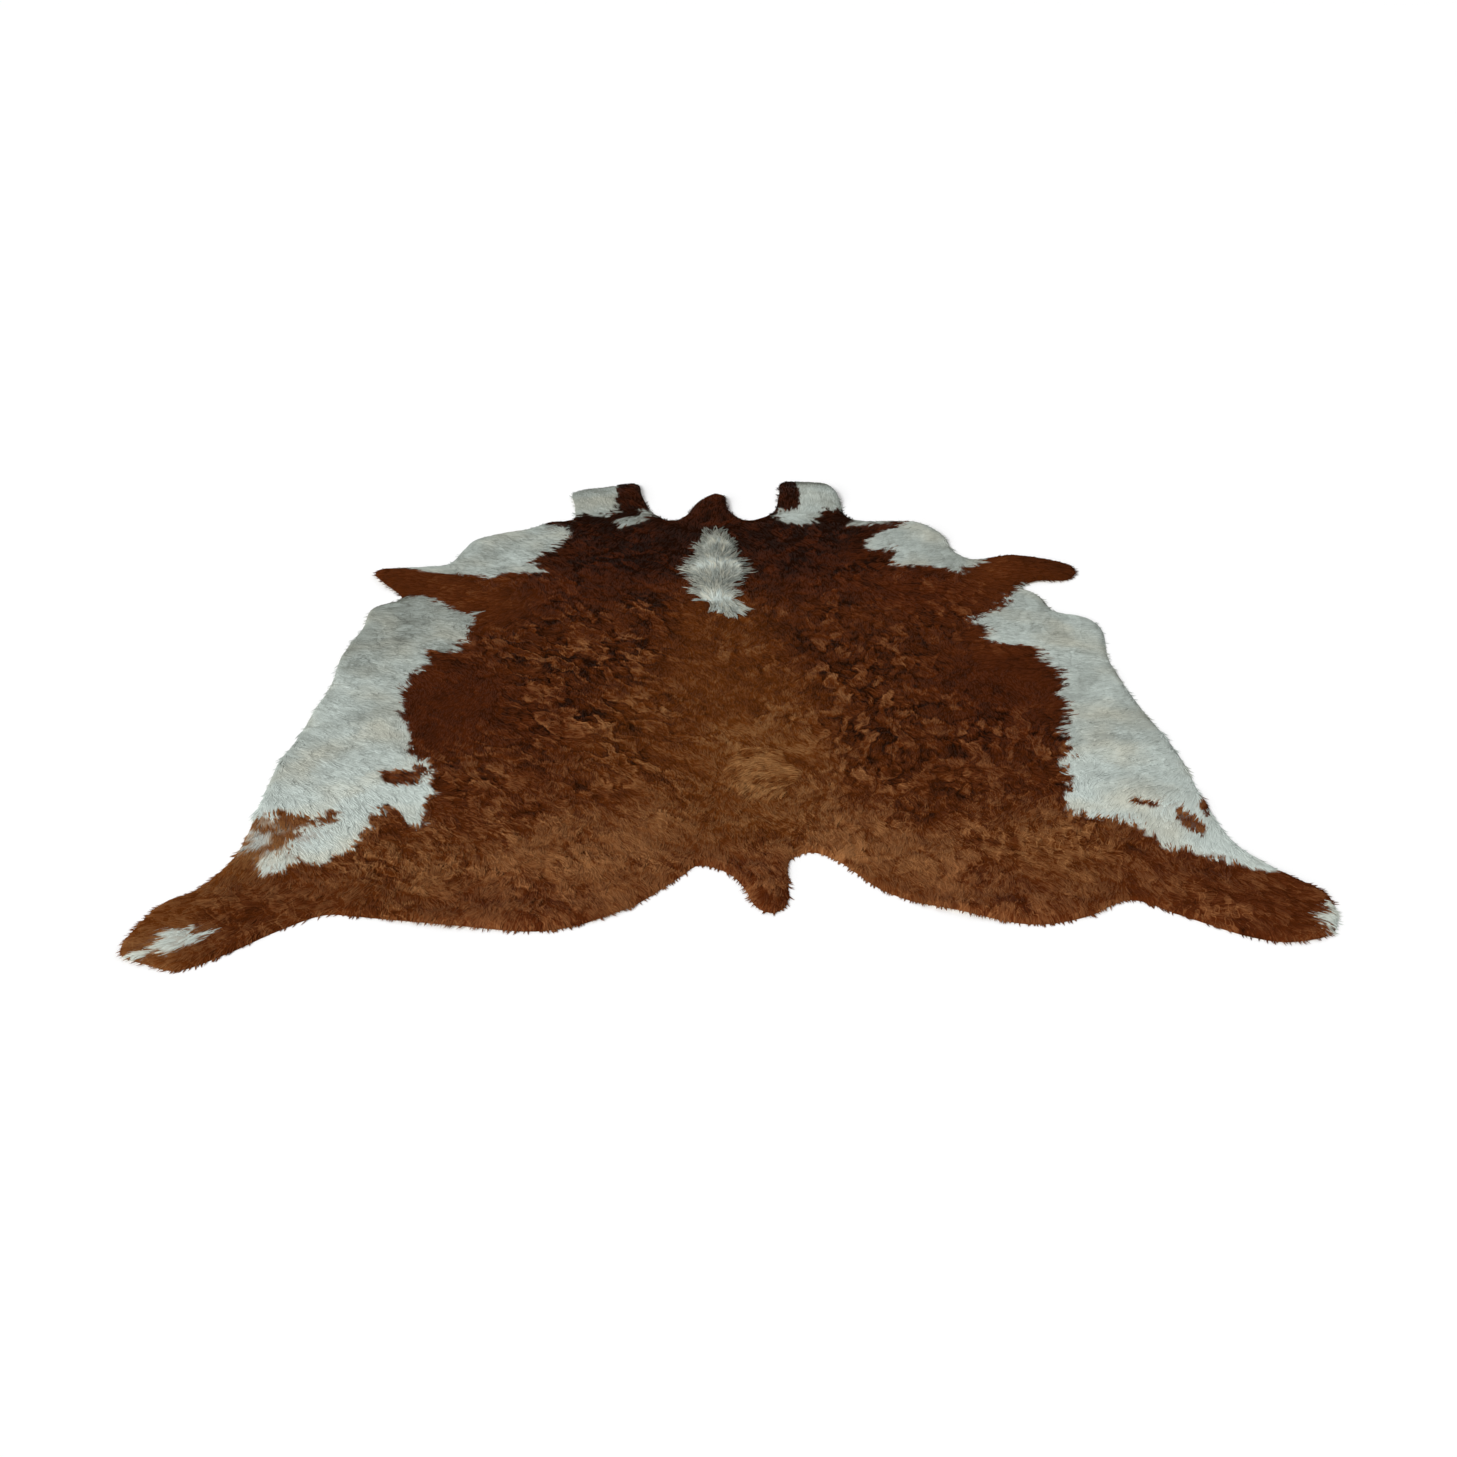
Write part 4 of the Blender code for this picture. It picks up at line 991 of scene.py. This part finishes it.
class HIDE_OT_coat(Operator):
    """Grows the coat over the whole skin, layer upon layer of locks"""
    bl_idname = "hide.coat"
    bl_label = "Grow the coat"

    def execute(self, context):
        sizes = context.scene.hide_sizes
        loop, inner_at, coat_read = coat_map(sizes.leather, sizes.undercoat, sizes.curl_height, sizes.seed)
        material = lock_material(sizes)
        for layer in range(sizes.layers):
            rng = np.random.default_rng(sizes.seed + layer)
            roots = lattice(loop, sizes.lock_spacing)
            roots = roots + rng.uniform(-0.5, 0.5, roots.shape) * sizes.lock_spacing
            roots = roots[inner_at(roots) > 0.0]
            coat = coat_at(roots)
            count, curl = len(roots), coat[:, 3]
            grown = coat_read(roots)
            headings = np.arctan2(grown[:, 4], grown[:, 3]) + rng.normal(0.0, 0.055, count)
            turning = ripple(roots, 0.045, 51) + 0.6 * ripple(roots, 0.02, 52)
            headings += 0.22 * curl * turning
            # Near the rim some of it falls over the edge: its heading leans to where the rim's distance drops
            down = [inner_at(roots - way) - inner_at(roots + way) for way in ((0.004, 0), (0, 0.004))]
            down = np.stack(down, axis=1) / 0.008
            lean = rng.uniform(0.0, 1.6, count) * smooth(0.020, 0.004, inner_at(roots))
            run = np.stack([np.cos(headings), np.sin(headings)], axis=1) + down * lean[:, None]
            headings = np.arctan2(run[:, 1], run[:, 0])
            bends = (4.0 + 16.0 * curl) * turning + rng.normal(0.0, 4.0, count)
            lengths = coat[:, 2] * rng.uniform(0.75, 1.2, count)
            run = np.stack([np.cos(headings), np.sin(headings)], axis=1)
            # A lock ends at its tuft's tip, where the share of the tuft below it starts
            before, open_end = grown[:, 2], np.ones(count, bool)
            for reach in np.arange(0.003, 0.036, 0.003):
                share = coat_read(roots + run * reach)[:, 2]
                ends = open_end & (share < before - 0.12) & (reach < lengths)
                lengths[ends] = max(reach, 0.007)
                open_end &= ~ends
                before = share
            widths = sizes.lock_width * rng.uniform(0.7, 1.25, count)
            lifts = 0.0016 * rng.uniform(0.6, 1.3, count) * (0.55 + 0.7 * curl)
            inner = inner_at(roots)
            lifts *= 0.35 + 0.65 * smooth(0.0, 0.02, inner)
            tips = inner_at(roots + run * lengths[:, None])
            reach = sizes.rim_reach * rng.uniform(0.2, 1.6, count)
            past = tips < -reach
            lengths[past] *= ((inner + reach) / (inner - tips))[past]
            made = lock_mesh(roots, headings, lengths, widths, lifts, bends, coat_read, 2)
            middle = roots + run * (0.6 * lengths)[:, None]
            colour = coat_read(middle)
            pale, mix = colour[:, 5], colour[:, 8]
            pale = 0.5 + (pale - 0.5) * (4 - 3 * mix) + rng.normal(0.0, 0.12, count) * mix
            put_locks(f"coat_layer_{layer + 1}", made,
                      {"own_light": rng.normal(0.0, 0.025, count), "gold": colour[:, 6],
                       "pale": np.clip(pale, 0.0, 1.0), "curl": colour[:, 7]}, material)
        return {"FINISHED"}


class HIDE_OT_long_hair(Operator):
    """Grows the long hair: the white stripe on the neck in three tiers, and the brushed whorl on the back"""
    bl_idname = "hide.long_hair"
    bl_label = "Grow the long hair"

    def execute(self, context):
        sizes = context.scene.hide_sizes
        loop, _, coat_read = coat_map(sizes.leather, sizes.undercoat, sizes.curl_height, sizes.seed)
        material = lock_material(sizes)
        rng = np.random.default_rng(sizes.seed + 50)

        # The stripe: hair stands up the neck and fans out to both sides, and at its lower end turns down
        middles = lattice(loop, CLUMP_SPACING)
        middles = middles + rng.uniform(-0.5, 0.5, middles.shape) * CLUMP_SPACING
        off, _ = stripe_at(middles)
        middles, off = middles[np.abs(off) < 1.0], off[np.abs(off) < 1.0]
        count, y = len(middles), middles[:, 1] - PATTERN_ORIGIN[1]
        down = y < 0.312 + 0.02 * ripple(middles, 0.04, 85)
        spread = np.interp(y, (0.58, 0.66), (1.25, 0.50))
        fan = np.where(down, math.radians(-75) + 0.85 * off,
                       math.radians(90) - spread * off * np.abs(off) ** 0.3)
        fan += rng.normal(0.0, 0.16, count)
        reach = np.interp(y, (0.24, 0.32, 0.50, 0.60, 0.72), (0.034, 0.058, 0.068, 0.054, 0.044))
        reach *= 1 - 0.35 * np.abs(off)
        roots = lattice(loop, STRAND_SPACING)
        clump, headings, lengths, bends = gathered(roots, middles, fan,
                                                   reach * rng.uniform(0.75, 1.2, count),
                                                   rng.normal(0.0, 9.0, count) + 5.0 * np.sign(off) * ~down)
        off, _ = stripe_at(roots)
        thin = rng.uniform(0.0, 1.0, len(roots)) < np.interp(roots[:, 1], (0.0, 0.65, 0.70), (1.0, 1.0, 0.30))
        kept = (np.abs(off) < 0.95) & thin
        roots, clump, headings, lengths, bends = (v[kept] for v in (roots, clump, headings, lengths, bends))
        count = len(roots)
        roots = roots + rng.uniform(-0.5, 0.5, roots.shape) * STRAND_SPACING
        headings = headings + rng.normal(0.0, 0.11, count)
        made = lock_mesh(roots, headings, lengths * rng.uniform(0.6, 1.1, count),
                         STRAND_WIDTH * rng.uniform(0.6, 1.2, count),
                         STRIPE_LIFT * rng.uniform(0.4, 1.4, count), bends, coat_read, 5)
        tone = rng.normal(0.0, 1.0, len(middles))[clump]
        put_locks("neck_stripe", made, {"own_light": 0.07 * tone + rng.normal(0.0, 0.09, count),
                                        "gold": 0.5 + 0.25 * tone, "pale": np.ones(count),
                                        "curl": np.zeros(count)}, material, 0.40)

        # The whorl: hair brushed across to one tip at its right
        roots = lattice(loop, WHORL_SPACING)
        roots = roots + rng.uniform(-0.5, 0.5, roots.shape) * WHORL_SPACING
        x, y = ((roots - PATTERN_ORIGIN - WHORL_MIDDLE) / WHORL_HALF).T
        roots = roots[x ** 2 + y ** 2 < 1 + 0.5 * ripple(roots, 0.03, 86)]
        count = len(roots)
        wave = ripple(roots, 0.022, 87, 2.2)
        x, y = (WHORL_TIP - (roots - PATTERN_ORIGIN)).T
        angle, radius = np.arctan2(y, x), np.hypot(y, x)
        headings = angle - 0.25 + 5.5 * radius + 0.25 * wave + rng.normal(0.0, 0.05, count)
        lengths = 0.028 * rng.uniform(0.6, 1.2, count)
        made = lock_mesh(roots, headings, lengths, STRAND_WIDTH * rng.uniform(0.6, 1.2, count),
                         WHORL_LIFT * rng.uniform(0.5, 1.3, count), 12.0 * wave - 5.5, coat_read, 4)
        streak = ripple(np.stack([radius * 0.25, angle * 0.20 + 0.01 * wave], axis=1), 0.014, 88)
        put_locks("back_whorl", made, {"own_light": 0.06 + 0.42 * streak + rng.normal(0.0, 0.05, count),
                                       "gold": np.ones(count), "pale": np.zeros(count),
                                       "curl": np.full(count, 0.4)}, material)
        return {"FINISHED"}


class HIDE_OT_stage(Operator):
    """Sets the pale floor, the soft lights and the camera"""
    bl_idname = "hide.stage"
    bl_label = "Set the stage"

    def execute(self, context):
        sizes = context.scene.hide_stage
        scene = context.scene
        floor = bpy.data.meshes.new("floor")
        reach = 30.0
        corners = [(-reach, -reach, 0), (reach, -reach, 0), (reach, reach, 0), (-reach, reach, 0)]
        floor.from_pydata(corners, [], [(0, 1, 2, 3)])
        # White paint, rolled on: it gives the eye an even pale ground without shine
        material, _, shader = new_material("pale_floor", Roughness=0.9)
        shader.inputs["Base Color"].default_value = sizes.floor
        floor.materials.append(material)
        ground = bpy.data.objects.new("floor", floor)
        scene.collection.objects.link(ground)

        world = bpy.data.worlds.new("room")
        world.use_nodes = True
        world.node_tree.nodes["Background"].inputs["Color"].default_value = sizes.room
        world.node_tree.nodes["Background"].inputs["Strength"].default_value = sizes.fill
        scene.world = world

        for name, strength, width, aim in (("window", sizes.key, 24, (0.62, 0.50, -0.56)),
                                           ("low window", sizes.low_key, 45, (0.50, 0.62, -0.34))):
            sun = bpy.data.lights.new(name, "SUN")
            sun.energy, sun.angle = strength, math.radians(width)
            lamp = bpy.data.objects.new(name, sun)
            lamp.rotation_euler = Vector(aim).to_track_quat("-Z", "Y").to_euler()
            scene.collection.objects.link(lamp)

        lens = bpy.data.cameras.new("camera")
        lens.sensor_width, lens.lens = 36.0, sizes.lens
        camera = bpy.data.objects.new("camera", lens)
        camera.location = (-0.174 + PATTERN_ORIGIN[0], -3.4586 + PATTERN_ORIGIN[1], 1.92)
        camera.rotation_euler = Vector((0.0523, 0.8556, -0.5150)).to_track_quat("-Z", "Y").to_euler()
        scene.collection.objects.link(camera)
        scene.camera = camera
        scene.view_settings.view_transform = "Standard"
        return {"FINISHED"}


class HIDE_PT_sidebar(Panel):
    """Lists the steps that make the rug"""
    bl_label = "Cowhide rug"
    bl_space_type = "VIEW_3D"
    bl_region_type = "UI"
    bl_category = "Cowhide"

    def draw(self, context):
        for step in STEPS:
            self.layout.operator(step.bl_idname)
        for group in (context.scene.hide_sizes, context.scene.hide_stage):
            for name in group.__annotations__:
                self.layout.prop(group, name)


STEPS = (HIDE_OT_skin, HIDE_OT_coat, HIDE_OT_long_hair, HIDE_OT_stage)
CLASSES = (HideSizes, StageSizes, *STEPS, HIDE_PT_sidebar)


def register():
    for kind in CLASSES:
        bpy.utils.register_class(kind)
    bpy.types.Scene.hide_sizes = PointerProperty(type=HideSizes)
    bpy.types.Scene.hide_stage = PointerProperty(type=StageSizes)


def unregister():
    del bpy.types.Scene.hide_stage, bpy.types.Scene.hide_sizes
    for kind in reversed(CLASSES):
        bpy.utils.unregister_class(kind)


def main():
    register()
    bpy.ops.hide.skin()
    bpy.ops.hide.coat()
    bpy.ops.hide.long_hair()
    bpy.ops.hide.stage()


if __name__ == "__main__":
    main()
